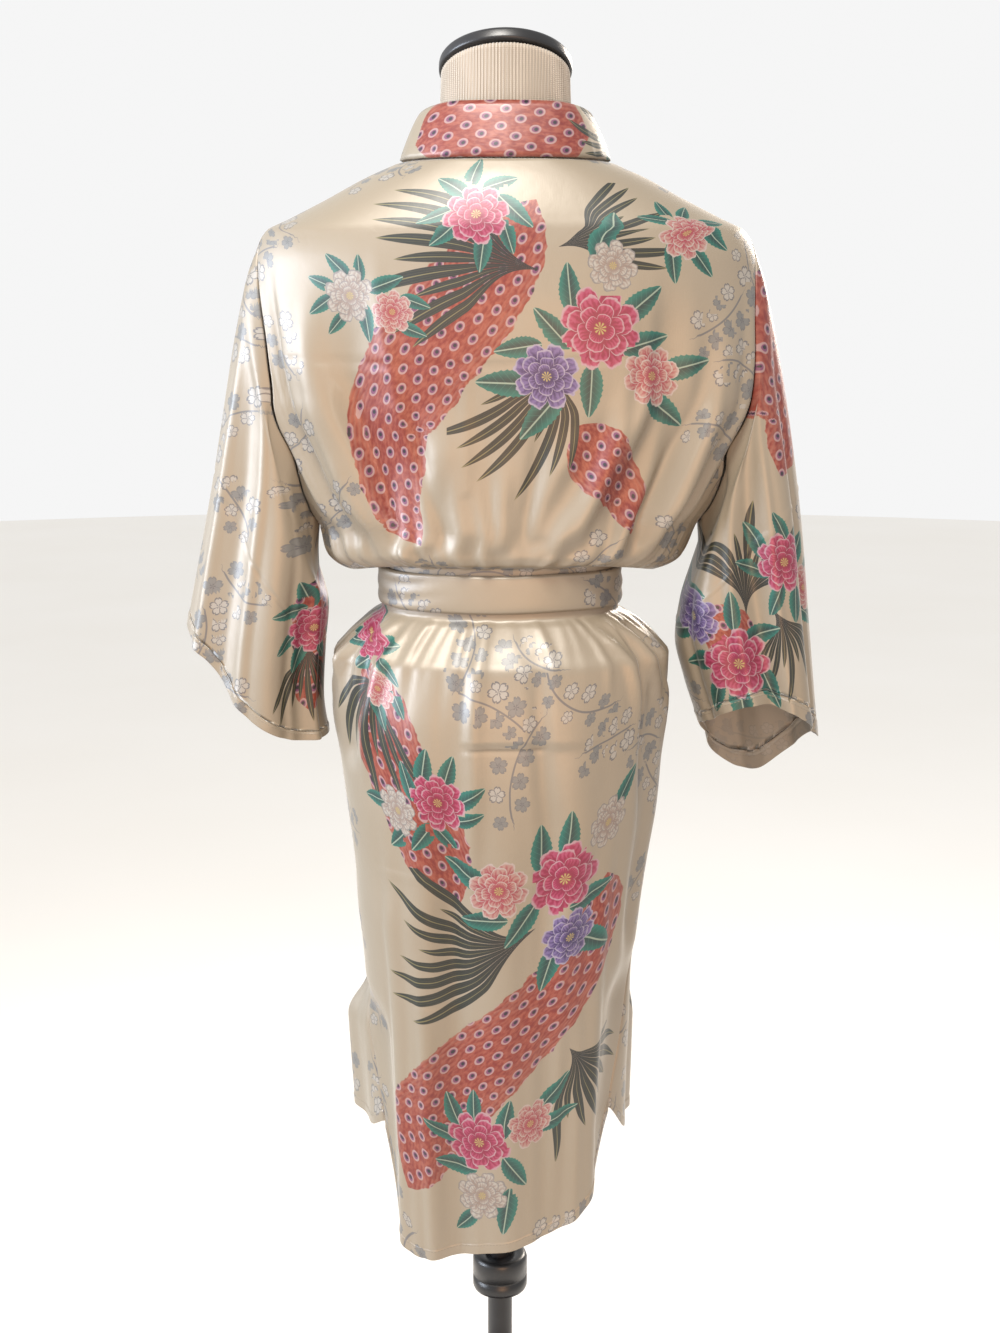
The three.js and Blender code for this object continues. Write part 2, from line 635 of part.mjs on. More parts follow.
function beltTail(tail) {
  const start = WAIST_Z - (KNOT.height + BAND_CLOTH) / 2 - 1.2;
  const foot = start - tail.length;
  const heights = [start, ...PANEL_ROWS.filter((z) => z < start - 3 && z > foot + 10), foot];
  const grid = heights.map((z) => {
    const down = (start - z) / tail.length;
    const lift = TAIL_LIFT + TAIL_HANG * (1 - ease((start - z) / 36));
    return [0, 0.25, 0.5, 0.75, 1].map((share) => {
      const turn = turnAtX(1, mix(tail.top, tail.foot, ease(down)) + BELT_WIDTH * share, z);
      return { point: bodyPoint(turn, z, lift), normal: bodyNormal(turn, z, lift) };
    });
  });
  return wall(grid, BAND_CLOTH);
}

// Dress form
function formRing(z, spare = 0) {
  return Array.from({ length: 32 }, (_, i) => {
    const a = 11.25 * i * RAD;
    const depth = form(Math.sin(a) > 0 ? "back" : "front", z) + spare;
    const y = depth * Math.sin(a);
    const shift = NECK_SHIFT * ease((z - 1000) / 350);
    return new THREE.Vector3(shift + (form("half", z) + spare) * Math.cos(a), y, z + form("tilt", z) * y);
  });
}

const FORM_ROWS = [
  738, 741, 745, 754, 765, 810, 860, 915, 942, 970, 998, 1026, 1053, 1080, 1115, 1150, 1210, 1245,
  1290, 1325, 1340, 1352, 1364, 1371, 1377, 1386, 1395, 1402, 1409, 1414, 1420, 1438, 1462, 1487,
];

function formBody() {
  return filled(FORM_ROWS.map((z) => formRing(z)));
}

function formCap() {
  const top = 1487;
  const lean = form("tilt", top);
  const away = new THREE.Vector3(0, -lean, 1).normalize();
  const rim = formRing(top, CAP.lip);
  const middle = rim.reduce((sum, p) => sum.add(p), new THREE.Vector3()).divideScalar(rim.length);
  const steps = [
    { size: 0.97, lift: 0.4 },
    { size: 1, lift: 3 },
    { size: 1, lift: CAP.height - 5 },
    { size: 0.96, lift: CAP.height - 1.5 },
    { size: 0.86, lift: CAP.height + 0.2 },
    { size: 0.6, lift: CAP.height + CAP.rise * 0.6 },
    { size: 0.3, lift: CAP.height + CAP.rise * 0.95 },
  ];
  return filled(steps.map(({ size, lift }) => rim.map((p) => middle.clone().lerp(p, size).addScaledVector(away, lift))));
}

function disc(radius, z, sides = 32) {
  return Array.from({ length: sides }, (_, i) => {
    const a = (2 * Math.PI * i) / sides;
    return new THREE.Vector3(radius * Math.cos(a), radius * Math.sin(a), z);
  });
}

function pole() {
  const foot = BASE_THICK + SEAM_GAP;
  const top = FORM_ROWS[0] - SEAM_GAP;
  return filled([disc(POLE_RADIUS, foot, 24), disc(POLE_RADIUS, (foot + top) / 2, 24), disc(POLE_RADIUS, top, 24)]);
}

const COLLAR = { foot: 283, top: 322, radius: 28 };

function poleCollar() {
  const inner = POLE_RADIUS + SEAM_GAP;
  const edge = 3;
  const outline = [
    [inner, COLLAR.foot],
    [COLLAR.radius - edge, COLLAR.foot],
    [COLLAR.radius, COLLAR.foot + edge],
    [COLLAR.radius, COLLAR.top - edge],
    [COLLAR.radius - edge, COLLAR.top],
    [inner, COLLAR.top],
  ];
  const around = 32;
  const positions = [];
  const faces = [];
  for (const [radius, z] of outline) {
    for (const p of disc(radius, z, around)) positions.push(p.x, p.y, p.z);
  }
  outline.forEach((_, k) => {
    const next = (k + 1) % outline.length;
    for (let i = 0; i < around; i += 1) {
      const j = (i + 1) % around;
      const a = k * around + i;
      const b = k * around + j;
      const c = next * around + j;
      const d = next * around + i;
      faces.push(a, b, c, a, c, d);
    }
  });
  return solid(positions, faces);
}

function basePlate() {
  const edge = 2;
  return filled([
    disc(BASE_RADIUS, 0, 64),
    disc(BASE_RADIUS, BASE_THICK - edge, 64),
    disc(BASE_RADIUS - edge, BASE_THICK, 64),
  ]);
}

const satin = new THREE.MeshStandardMaterial({ name: "printed_satin", color: 0xe9dcc6, roughness: 0.4 });
const jersey = new THREE.MeshStandardMaterial({ name: "form_jersey", color: 0xe8e0d2, roughness: 0.9 });
const plastic = new THREE.MeshStandardMaterial({ name: "black_plastic", color: 0x1b1b1d, roughness: 0.45 });
const steel = new THREE.MeshStandardMaterial({ name: "black_steel", color: 0x202022, roughness: 0.5, metalness: 0 });

const model = new THREE.Group();
model.name = "kimono_robe";

function add(name, geometry, material) {
  const mesh = new THREE.Mesh(geometry, material);
  mesh.name = name;
  model.add(mesh);
}

add("back", backPanel(), satin);
add("front_left", frontPanel(1), satin);
add("front_right", frontPanel(-1), satin);
add("sleeve_left", sleevePiece(LEFT_SLEEVE), satin);
add("sleeve_right", sleevePiece(RIGHT_SLEEVE), satin);
add("neck_band", neckBand(), satin);
add("belt_waist", beltWaist(), satin);
add("belt_knot", beltKnot(), satin);
for (const tail of TAILS) add(tail.name, beltTail(tail), satin);
add("form_body", formBody(), jersey);
add("form_cap", formCap(), plastic);
add("pole", pole(), steel);
add("pole_collar", poleCollar(), plastic);
add("base_plate", basePlate(), steel);

export default model;
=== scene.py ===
import math

import bpy
import numpy as np
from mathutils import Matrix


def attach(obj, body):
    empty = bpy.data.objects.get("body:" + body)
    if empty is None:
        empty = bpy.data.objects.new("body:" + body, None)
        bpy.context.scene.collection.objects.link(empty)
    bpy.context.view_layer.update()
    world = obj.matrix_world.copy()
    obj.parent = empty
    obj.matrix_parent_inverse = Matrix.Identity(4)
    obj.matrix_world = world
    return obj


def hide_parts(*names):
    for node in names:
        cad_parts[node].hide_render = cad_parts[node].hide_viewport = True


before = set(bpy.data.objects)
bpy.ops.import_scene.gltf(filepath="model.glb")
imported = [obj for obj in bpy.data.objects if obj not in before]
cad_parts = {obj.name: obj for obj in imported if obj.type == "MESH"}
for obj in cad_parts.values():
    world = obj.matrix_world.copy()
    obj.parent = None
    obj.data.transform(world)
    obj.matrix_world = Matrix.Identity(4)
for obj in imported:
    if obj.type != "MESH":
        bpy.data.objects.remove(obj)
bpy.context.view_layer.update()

# Driving sizes
SATIN = 0.8  # drawn thickness of one layer of satin
CLOTH = 1.6  # wall of the solids' panels
BAND_CLOTH = 2.4  # the band and the belt, doubled and pressed
BAND_WIDTH = 50
BELT_WIDTH = 36
WAIST_Z = 1026
NECK_Z = 1409
HEM_START = 524  # the panels' rows are level above this, and near the hem below
SEAM_GAP = 0.3
WRAP_STEP = 4.2  # how far the right front slips under the left one
WRAP_TOP = 1305
BELT_LIFT = BAND_CLOTH + SEAM_GAP + 0.3
GATHERED = {"top": 1049, "foot": 1004}  # the stretch that the belt draws in
FINE_DEPTH = 1.55  # makes all the small folds deeper or flatter
SEAM_ROLL = 1.8  # how far a sewn edge turns to the inside
ROLL_WIDTH = 2.4
HEM_WIDTH = 10  # the narrow double-turned hem
HEM_PROUD = 0.55
HEM_PUCKER = 0.35
UNHEMMED = 900.0  # height above the hem of a piece that has none
SLEEVE_LENGTH = 400
POLE_RADIUS = 12.5
BASE_RADIUS = 190
BASE_THICK = 8
FORM_FOOT = 738
NECK_TOP = 1487
RIB_COUNT = 118  # ribs of the form's jersey, 3 to 4 mm apart at the neck
RAD = math.pi / 180

# The body of the robe, by height: half width, shift to the side, depth behind
# and in front, squareness of the section, and how far its sides droop
BODY_COLUMNS = ("half", "shift", "back", "front", "square", "droop")
BODY_ROWS = [
    (1409, 97, -5, 70, 36, 2.0, 0), (1395, 129, -5, 78, 50, 2.0, 0),
    (1377, 163, -5, 86, 66, 2.0, 0), (1360, 197, -5, 92, 80, 2.0, 0),
    (1349, 219, -5, 95, 88, 2.0, 0), (1320, 233, -6, 99, 101, 2.0, 0),
    (1280, 237, -8, 102, 115, 2.0, 0), (1240, 238, -10, 101, 123, 2.0, 0),
    (1200, 236, -12, 98, 122, 2.0, 0), (1150, 216, -11, 95, 115, 2.0, 0),
    (1110, 197, -9, 94, 110, 2.0, 0), (1083, 178, -8, 95, 107, 2.0, 0),
    (1062, 164, -4, 95, 104, 2.1, 10), (1054, 143, -3, 92, 98, 2.1, 14),
    (1049, 112.2, 0, 80.2, 91.2, 2.2, 0), (1026, 112, 0, 80, 91, 2.2, 0),
    (1003, 112.2, 0, 80.2, 91.2, 2.2, 0), (996, 123, 0, 87, 95, 2.2, 0),
    (984, 138, 0, 96, 101, 2.2, 0), (972, 150, 0, 104, 108, 2.2, 0),
    (960, 159, 0, 112, 115, 2.2, 0), (909, 160, 1, 122, 122, 2.2, 0),
    (859, 155, -1, 124, 124, 2.2, 0), (809, 150, -2, 122, 123, 2.3, 0),
    (757, 143, -1, 119, 121, 2.3, 0), (705, 138, 1, 117, 119, 2.4, 0),
    (653, 133, 1, 114, 118, 2.4, 0), (600, 131, 0, 112, 117, 2.4, 0),
    (487, 130, 0, 109, 115, 2.4, 0), (374, 128, 0, 108, 113, 2.4, 0),
]

# Folds of the body: top, foot, turn at the top and at the foot, width in
# degrees, depth, and the shares of its length over which it grows and fades.
BODY_FOLDS = [
    (1310, 1058, 34, 46, 11, 8, 0.35, 0.2), (1330, 1062, 50, 62, 9, -6, 0.35, 0.2),
    (1200, 1058, 74, 80, 9, 5, 0.35, 0.2), (1180, 1060, 106, 100, 9, 5, 0.35, 0.2),
    (1330, 1062, 128, 118, 9, -6, 0.35, 0.2), (1310, 1058, 146, 136, 11, 8, 0.35, 0.2),
    (1300, 1060, 222, 232, 12, 6, 0.35, 0.2), (1300, 1060, 318, 308, 12, 6, 0.35, 0.2),
    (1002, 850, 40, 22, 13, -8, 0.35, 0.2), (1002, 640, 150, 158, 13, -8, 0.35, 0.2),
    (990, 470, 66, 58, 14, 5, 0.35, 0), (985, 470, 112, 118, 15, 5, 0.35, 0),
    (990, 470, 228, 222, 14, 6, 0.35, 0), (990, 470, 312, 316, 14, 6, 0.35, 0),
    (620, 470, 342, 336, 30, 27, 0.35, 0), (620, 470, 200, 204, 26, 9, 0.35, 0),
    (640, 480, 18, 26, 26, -15, 0.35, 0), (680, 500, 160, 148, 28, -15, 0.35, 0),
]
# Smaller folds and creases that only the satin shows
FINE_FOLDS = [
    (1330, 1066, 16, 30, 4.5, 3.4, 0.4, 0.15), (1335, 1066, 24, 38, 3.6, -3.0, 0.4, 0.15),
    (1250, 1064, 44, 54, 4.0, 3.0, 0.4, 0.15), (1345, 1100, 60, 67, 3.4, 1.8, 0.4, 0.4),
    (1220, 1062, 66, 71, 4.0, -2.4, 0.5, 0.15), (1160, 1060, 88, 88, 4.0, 2.6, 0.5, 0.15),
    (1205, 1062, 97, 94, 3.6, -2.2, 0.5, 0.15), (1240, 1062, 116, 110, 4.2, 2.8, 0.5, 0.15),
    (1330, 1090, 124, 116, 3.2, 1.8, 0.5, 0.3), (1290, 1064, 140, 128, 4.4, -2.8, 0.4, 0.15),
    (1325, 1066, 158, 146, 4.6, 3.6, 0.4, 0.15), (1335, 1066, 166, 154, 3.6, -3.0, 0.4, 0.15),
    (1150, 1052, 62, 58, 5.0, 3.0, 0.6, 0.1), (1120, 1052, 124, 126, 5.0, 3.2, 0.6, 0.1),
    (1310, 1066, 206, 214, 4.6, 3.0, 0.4, 0.15), (1250, 1064, 238, 244, 4.2, -2.4, 0.4, 0.15),
    (1250, 1064, 302, 296, 4.2, -2.4, 0.4, 0.15), (1310, 1066, 334, 326, 4.6, 3.0, 0.4, 0.15),
    (998, 905, 30, 10, 5.0, 3.4, 0.2, 0.6), (998, 830, 52, 34, 5.0, 3.2, 0.2, 0.6),
    (998, 880, 132, 146, 5.0, 4.2, 0.2, 0.6), (998, 780, 142, 152, 4.0, -2.6, 0.2, 0.6),
    (998, 850, 160, 172, 5.0, 3.4, 0.2, 0.6), (996, 700, 84, 80, 5.0, 2.4, 0.2, 0.5),
    (996, 760, 100, 104, 5.0, -2.2, 0.2, 0.5), (960, 372, 74, 76, 9.0, -3.4, 0.4, 0),
    (900, 372, 90, 92, 8.0, 2.8, 0.4, 0), (940, 372, 104, 106, 7.0, -2.6, 0.4, 0),
    (880, 372, 128, 130, 8.0, 3.0, 0.4, 0), (860, 372, 48, 46, 8.0, 3.0, 0.4, 0),
    (700, 372, 62, 66, 6.0, 3.0, 0.4, 0), (660, 372, 116, 112, 6.0, -3.0, 0.4, 0),
    (990, 480, 240, 238, 5.0, 3.0, 0.3, 0), (990, 480, 254, 252, 6.0, -3.0, 0.3, 0),
    (990, 480, 284, 286, 6.0, -3.0, 0.3, 0), (990, 480, 298, 300, 5.0, 3.0, 0.3, 0),
    (990, 480, 344, 348, 7.0, 3.6, 0.3, 0), (990, 480, 196, 192, 7.0, 3.6, 0.3, 0),
    (1235, 1057, 137, 139, 5.5, 4.6, 0.4, 0.12), (1225, 1057, 129, 132, 5.0, -3.6, 0.4, 0.12),
    (1260, 1062, 127, 106, 6.0, 3.6, 0.5, 0.12), (1200, 1062, 112, 98, 5.5, -3.0, 0.5, 0.12),
    (1310, 1062, 41, 47, 5.5, 4.2, 0.4, 0.12), (1260, 1062, 50, 57, 4.6, -3.4, 0.4, 0.12),
    (1180, 1060, 74, 64, 6.0, 3.0, 0.5, 0.12), (1000, 900, 144, 164, 6.5, 4.0, 0.15, 0.5),
    (1000, 915, 152, 171, 5.0, -3.4, 0.15, 0.5), (1000, 890, 40, 24, 6.0, 3.4, 0.15, 0.5),
    (930, 560, 62, 82, 9.0, -2.2, 0.5, 0.4), (870, 520, 120, 98, 10.0, 2.2, 0.5, 0.4),
]
# Sharp creases left by the packing: turn and height at both ends, width, depth
PACKING_CREASES = [
    ((80.5, 1000), (80.5, 893), 3.0, -1.3),
    ((80.5, 893), (103, 891), 3.0, -1.2),
    ((103, 891), (142, 897), 3.0, 0.6),
    ((80.5, 893), (80.0, 700), 3.5, -0.7),
    ((36, 1236), (80, 1231), 4.0, -1.0),
    ((80, 1231), (128, 1240), 4.0, -0.8),
    ((80, 1231), (79, 1120), 4.0, 0.8),
    ((40, 765), (135, 760), 4.0, 0.8),
    ((58, 640), (128, 634), 4.0, -0.8),
    ((232, 1160), (300, 1164), 4.0, -0.8),
    ((222, 760), (318, 764), 4.0, 0.8),
]
MM_PER_DEGREE = 2.0  # a degree of turn is about 2 mm of the cloth
# The folded square that stands a little proud below the belt: turns, heights
PRESSED_SQUARE = {"from": 80.5, "to": 136, "top": 1000, "foot": 892, "proud": 2.7}

# Side seams: height, y
LEFT_SEAM = [(1083, 0), (640, 0), (580, 8), (530, 24), (486, 38), (374, 44)]
RIGHT_SEAM = [(1083, 0), (740, 0), (650, 14), (580, 34), (507, 54), (374, 58)]
# The armhole: heights, and how far it reaches behind and in front
ARMHOLE = {"top": 1349, "foot": 1083, "back": 40, "front": 42}
# Hems: share of the way across the panel, height
BACK_HEM = [
    (0, 486), (0.04, 446), (0.1, 407), (0.19, 382), (0.3, 374),
    (0.46, 381), (0.62, 395), (0.8, 426), (0.93, 470), (1, 507),
]
FRONT_HEMS = {
    1: [(0, 486), (0.14, 471), (0.5, 470), (1, 468)],
    -1: [(0, 507), (0.16, 473), (0.5, 470), (1, 468)],
}
# The fronts' edge, where the band is sewn on: height, x
FRONT_EDGE = [
    (1409, 93), (1380, 90), (1340, 82), (1290, 66), (1230, 46), (1150, 20),
    (1085, 0), (1046, -10), (1000, -16), (900, -20), (468, -24),
]
# Free edge of the neck band round the neck: turn (None: on the front's edge),
# height of its seam, and the free edge's place
BAND_TURN = [
    (90, 1409, 0, 56, 1459),
    (62, 1409, 39, 50, 1459),
    (34, 1409, 67, 30, 1456),
    (8, 1409, 79, 4, 1450),
    (-14, 1409, 77, -22, 1447),
    (None, 1400, 66, -46, 1438),
    (None, 1384, 55, -65, 1415),
    (None, 1364, 42, -84, 1386),
]

# The sleeves, by share of their length: outer and inner fold, y of the middle,
# depth behind and in front, and how far each side hangs below a straight cut
SLEEVE_COLUMNS = ("outX", "outZ", "inX", "inZ", "midY", "back", "front", "backDrop", "frontDrop")
LEFT_SLEEVE_ROWS = [
    (0, 216, 1349, 172, 1083, 0, 40, 42, 0, 0),
    (0.12, 231, 1312, 173, 1062, 0, 43, 46, 0, 0),
    (0.28, 243, 1262, 171, 1030, -2, 46, 50, 0, 0),
    (0.46, 257, 1190, 163, 1002, -4, 49, 53, 6, 4),
    (0.66, 271, 1116, 167, 962, -6, 52, 56, 14, 10),
    (0.85, 287, 1042, 170, 912, -8, 54, 58, 24, 16),
    (1, 299, 986, 166, 876, -8, 54, 60, 32, 20),
]
RIGHT_SLEEVE_ROWS = [
    (0, -224, 1349, -188, 1083, 0, 40, 42, 0, 0),
    (0.12, -240, 1308, -189, 1064, -1, 44, 48, 0, 0),
    (0.28, -256, 1246, -182, 1036, -3, 50, 56, 0, 4),
    (0.46, -271, 1170, -172, 1006, -5, 56, 64, -6, 12),
    (0.66, -285, 1078, -168, 970, -7, 61, 72, -14, 28),
    (0.85, -297, 970, -178, 928, -9, 64, 78, -26, 46),
    (1, -308, 873, -192, 888, -10, 66, 80, -36, 64),
]
# Folds along a sleeve: turn, width, depth, and where it starts and ends
LEFT_SLEEVE_FOLDS = [
    (58, 24, -9, 0.05, 1), (100, 22, 6, 0.2, 1), (134, 18, -6, 0.3, 1),
    (250, 26, 7, 0.15, 1), (300, 24, -7, 0.1, 1),
    (36, 9, 3.4, 0.1, 1), (78, 9, 3.2, 0.1, 0.9), (118, 8, -3.0, 0.3, 1),
    (150, 9, 3.2, 0.3, 1), (226, 10, 3.4, 0.3, 1), (274, 9, 3.0, 0.2, 1), (324, 9, 3.2, 0.1, 1),
]
RIGHT_SLEEVE_FOLDS = [
    (52, 24, 6, 0.1, 1), (84, 20, -10, 0.05, 1), (126, 22, 7, 0.2, 1),
    (244, 26, 8, 0.2, 1), (292, 24, -8, 0.15, 1),
    (34, 9, -3.2, 0.1, 1), (68, 8, 3.6, 0.1, 1), (104, 9, 3.4, 0.2, 1),
    (148, 9, -3.2, 0.3, 1), (220, 10, -3.2, 0.3, 1), (268, 9, 3.2, 0.2, 1), (318, 10, 3.4, 0.1, 1),
]

# The dress form, by height: half width, depth behind and in front, tilt
FORM_COLUMNS = ("half", "back", "front", "tilt")
FORM_ROWS = [
    (738, 100, 78, 72, 0), (745, 119, 92, 85, 0), (765, 128, 101, 93, 0), (810, 138, 109, 101, 0),
    (860, 143, 111, 103, 0), (915, 138, 105, 98, 0), (970, 118, 88, 86, 0), (1026, 102, 72, 78, 0),
    (1080, 110, 77, 84, 0), (1150, 126, 83, 97, 0), (1210, 137, 86, 109, 0), (1245, 141, 88, 112, 0),
    (1290, 152, 89, 99, 0), (1325, 168, 87, 83, 0), (1350, 176, 83, 70, 0), (1364, 174, 79, 60, 0),
    (1377, 159.5, 74, 50, 0), (1395, 125.5, 66, 40, 0), (1409, 92, 60, 30, 0), (1420, 70, 53, 33, 0.05),
    (1438, 61, 49, 42, 0.18), (1462, 59, 49, 46, 0.32), (1487, 58, 50, 48, 0.46),
]
NECK_SHIFT = -5
CAP = {"lip": 2, "height": 13, "rise": 5}
COLLAR = {"foot": 283, "top": 322, "radius": 28}
KNOT = {"width": 42, "height": 44, "depth": 22}
TAILS = [
    {"name": "belt_tail_left", "top": 3, "foot": 28, "length": 330},
    {"name": "belt_tail_right", "top": -39, "foot": -64, "length": 300},
]
TAIL_HANG = 11


# Reading tables
def curve(places, values):
    """A smooth curve through a table's values that never overshoots them."""
    order = np.argsort(places)
    x = np.array(places, float)[order]
    y = np.array(values, float)[order]
    width = np.diff(x).reshape((-1,) + (1,) * (y.ndim - 1))
    step = np.diff(y, axis=0) / width
    before, after = step[:-1], step[1:]
    agree = before * after > 0
    inner = np.where(agree, 2 * before * after / np.where(agree, before + after, 1), 0)
    slope = np.concatenate([step[:1], inner, step[-1:]])

    def read(at):
        at = np.clip(at, x[0], x[-1])
        i = np.clip(np.searchsorted(x, at, side="right") - 1, 0, len(x) - 2)
        span = x[i + 1] - x[i]
        t = (at - x[i]) / span
        if y.ndim > 1:
            t, span = t[..., None], span[..., None]
        lower = (2 * t**3 - 3 * t**2 + 1) * y[i] + (t**3 - 2 * t**2 + t) * span * slope[i]
        upper = (3 * t**2 - 2 * t**3) * y[i + 1] + (t**3 - t**2) * span * slope[i + 1]
        return lower + upper

    return read


def table(rows, names):
    columns = list(zip(*rows))
    return {name: curve(columns[0], column) for name, column in zip(names, columns[1:])}


def pairs(rows):
    return curve([row[0] for row in rows], [row[1] for row in rows])


BODY = table(BODY_ROWS, BODY_COLUMNS)
FORM = table(FORM_ROWS, FORM_COLUMNS)
SEAMS = {1: pairs(LEFT_SEAM), -1: pairs(RIGHT_SEAM)}
front_edge = pairs(FRONT_EDGE)


def mix(a, b, t):
    return a + (b - a) * t


def ease(t):
    """A soft step from 0 to 1."""
    c = np.clip(t, 0, 1)
    return c * c * (3 - 2 * c)


def power(value, exponent):
    return np.sign(value) * np.abs(value) ** exponent


def hump(distance, width):
    """1 at no distance, falling softly to 0 at the width."""
    near = np.abs(distance) < width
    return np.where(near, (1 + np.cos(np.pi * distance / width)) / 2, 0)


def around(degrees):
    return (degrees + 180) % 360 - 180


# The body of the robe
def gathers():
    """Small pleats that the belt presses into the cloth above and below it."""
    dice = np.random.default_rng(7)
    top, foot = GATHERED["top"], GATHERED["foot"]
    pleats = []
    turn = 0.0
    while turn < 358:
        width = dice.uniform(1.9, 4.2)
        depth = dice.uniform(1.6, 4.4) * dice.choice([1, 1, -0.7])
        lean = dice.uniform(-7, 7)
        rise = dice.uniform(25, 120)
        pleats.append((top + rise, top - 1, turn + lean, turn, width, depth, 0.9, 0.06))
        if dice.uniform() < 0.8:
            drop = dice.uniform(30, 150)
            ends = (foot, foot - drop, turn + 1, turn + 1 + lean)
            pleats.append((*ends, width, depth * 0.75, 0.12, 0.85))
        turn += width * dice.uniform(0.9, 1.9)
    return pleats


SMALL_FOLDS = [(*fold[:5], fold[5] * FINE_DEPTH, *fold[6:]) for fold in FINE_FOLDS]
ALL_FOLDS = BODY_FOLDS + SMALL_FOLDS + gathers()


def pressed_square(turn, z):
    """How far the square left by the packing stands out."""
    square = PRESSED_SQUARE
    over_edge = ease((turn - square["from"]) / 1.1) * ease((z - square["foot"]) / 2.6)
    fading = ease((square["to"] - turn) / 40) * ease((square["top"] - z) / 24)
    return square["proud"] * over_edge * fading


def body_folds(turn, z):
    total = np.zeros(np.broadcast(turn, z).shape)
    for top, foot, start, end, width, depth, grows, fades in ALL_FOLDS:
        down = (top - z) / (top - foot)
        if not np.any((down > 0) & ((down < 1) | (fades == 0))):
            continue
        at = mix(start, end, np.clip(down, 0, 1))
        strength = ease(down / grows) * (ease((1 - down) / fades) if fades else 1)
        total += depth * strength * hump(around(turn - at), width)
    for (turn_a, z_a), (turn_b, z_b), width, depth in PACKING_CREASES:
        ax, ay = around(turn - turn_a) * MM_PER_DEGREE, z - z_a
        bx, by = (turn_b - turn_a) * MM_PER_DEGREE, z_b - z_a
        share = np.clip((ax * bx + ay * by) / (bx * bx + by * by), 0, 1)
        away = np.hypot(ax - share * bx, ay - share * by)
        total += depth * hump(away, width)
    return total + pressed_square(turn, z)


def body_point(turn, z, lift=0.0):
    """A place on the robe's body: turn is 0 at its left and 90 at its back."""
    turn, z, lift = np.broadcast_arrays(turn, z, lift)
    c, s = np.cos(turn * RAD), np.sin(turn * RAD)
    bend = 2 / BODY["square"](z)
    out = lift + body_folds(turn, z)
    depth = np.where(s > 0, BODY["back"](z), BODY["front"](z))
    x = BODY["shift"](z) + (BODY["half"](z) + out) * power(c, bend)
    y = (depth + out) * power(s, bend)
    return np.stack([x, y, z - BODY["droop"](z) * c**4], -1)


def unit(vectors):
    return vectors / np.maximum(np.linalg.norm(vectors, axis=-1, keepdims=True), 1e-9)


def body_normal(turn, z, lift=0.0):
    along = body_point(turn + 0.6, z, lift) - body_point(turn - 0.6, z, lift)
    up = body_point(turn, z + 1.5, lift) - body_point(turn, z - 1.5, lift)
    return unit(np.cross(along, up))


def turn_at_y(side, y, z):
    """The turn at which one side of the body reaches a depth."""
    depth = np.where(y > 0, BODY["back"](z), BODY["front"](z))
    lean = np.arcsin(np.clip(power(y / depth, BODY["square"](z) / 2), -1, 1)) / RAD
    return lean if side > 0 else 180 - lean


def turn_at_x(side, x, z):
    """The turn at which the front reaches an x, met from one side."""
    share = np.clip(x / BODY["half"](z), -1, 1)
    lean = np.arccos(power(share, BODY["square"](z) / 2)) / RAD
    return -lean if side > 0 else 360 - lean


ARMHOLE_MIDDLE = (ARMHOLE["top"] + ARMHOLE["foot"]) / 2
ARMHOLE_REACH = (ARMHOLE["top"] - ARMHOLE["foot"]) / 2


def armhole_reach(face, z):
    level = (z - ARMHOLE_MIDDLE) / ARMHOLE_REACH
    return ARMHOLE[face] * np.sqrt(np.clip(1 - level * level, 0, 1))


def side_turn(side, face, z):
    """Where a panel ends, at its side seam or at the armhole."""
    away = armhole_reach(face, z) + SEAM_GAP / 2
    seam = SEAMS[side](z)
    return turn_at_y(side, seam + (away if face == "back" else -away), z)


def under_lift(turn, z):
    """How far the right front slips under the left one."""
    past_seam = turn - side_turn(-1, "front", z)
    step = WRAP_STEP + 2.2 * hump(z - GATHERED["top"] - 3, 12)
    return -step * ease((past_seam - 2) / 22) * ease((WRAP_TOP - z) / 50)


PANEL_HEIGHTS = np.concatenate([
    [NECK_Z, NECK_Z - 0.8, NECK_Z - 1.8],
    np.arange(NECK_Z - 3, 1340, -2.5),
    np.arange(1340, 1072, -4),
    np.arange(1072, 1046, -1.3),
    np.arange(1046, 1006, -4),
    np.arange(1006, 980, -1.6),
    np.arange(980, HEM_START, -4),
])
EDGE_STEPS = np.array([0.0013, 0.0028, 0.0045, 0.007])
HEM_STEPS = np.array([13, 11.5, 10.6, 10, 9.4, 8.4, 6.5, 4.5, 2.5, 1.2, 0.5, 0])


def seam_roll(distance):
    return SEAM_ROLL * (1 - ease(distance / ROLL_WIDTH))


def hem_lift(above, ripple):
    """The hem's turned cloth, and the slight puckers beside its stitches."""
    turned = HEM_PROUD * ease((HEM_WIDTH + 0.4 - above) / 0.8)
    return turned + HEM_PUCKER * hump(above - HEM_WIDTH, 9) * np.sin(ripple)


def panel_grid(columns, hem_rows, hem_line, turn_of, slips=False):
    """Places on a panel, and their heights above its hem."""
    across = np.unique(np.concatenate([np.linspace(0, 1, columns), EDGE_STEPS, 1 - EDGE_STEPS]))
    hem = pairs(hem_line)(across)[None]
    level_rows = np.repeat(PANEL_HEIGHTS[:, None], len(across), 1)
    steps = np.linspace(0, 1, hem_rows + 1)[:, None]
    lower = mix(float(HEM_START), hem + HEM_STEPS[0] + 1.5, steps)
    z = np.concatenate([level_rows, lower, hem + HEM_STEPS[:, None]])
    turn = turn_of(across[None], z)
    width = np.abs(turn[:, -1:] - turn[:, :1]) * RAD * BODY["half"](z[:, :1])
    from_side = np.minimum(across, 1 - across)[None] * width
    from_top = (NECK_Z - z) * 1.6
    above = z - hem
    lift = hem_lift(above, turn * 17 + 3 * np.sin(turn * 2.3))
    lift -= seam_roll(np.minimum(from_side, from_top))
    if slips:
        lift += under_lift(turn, z)
    return body_point(turn, z, lift), above


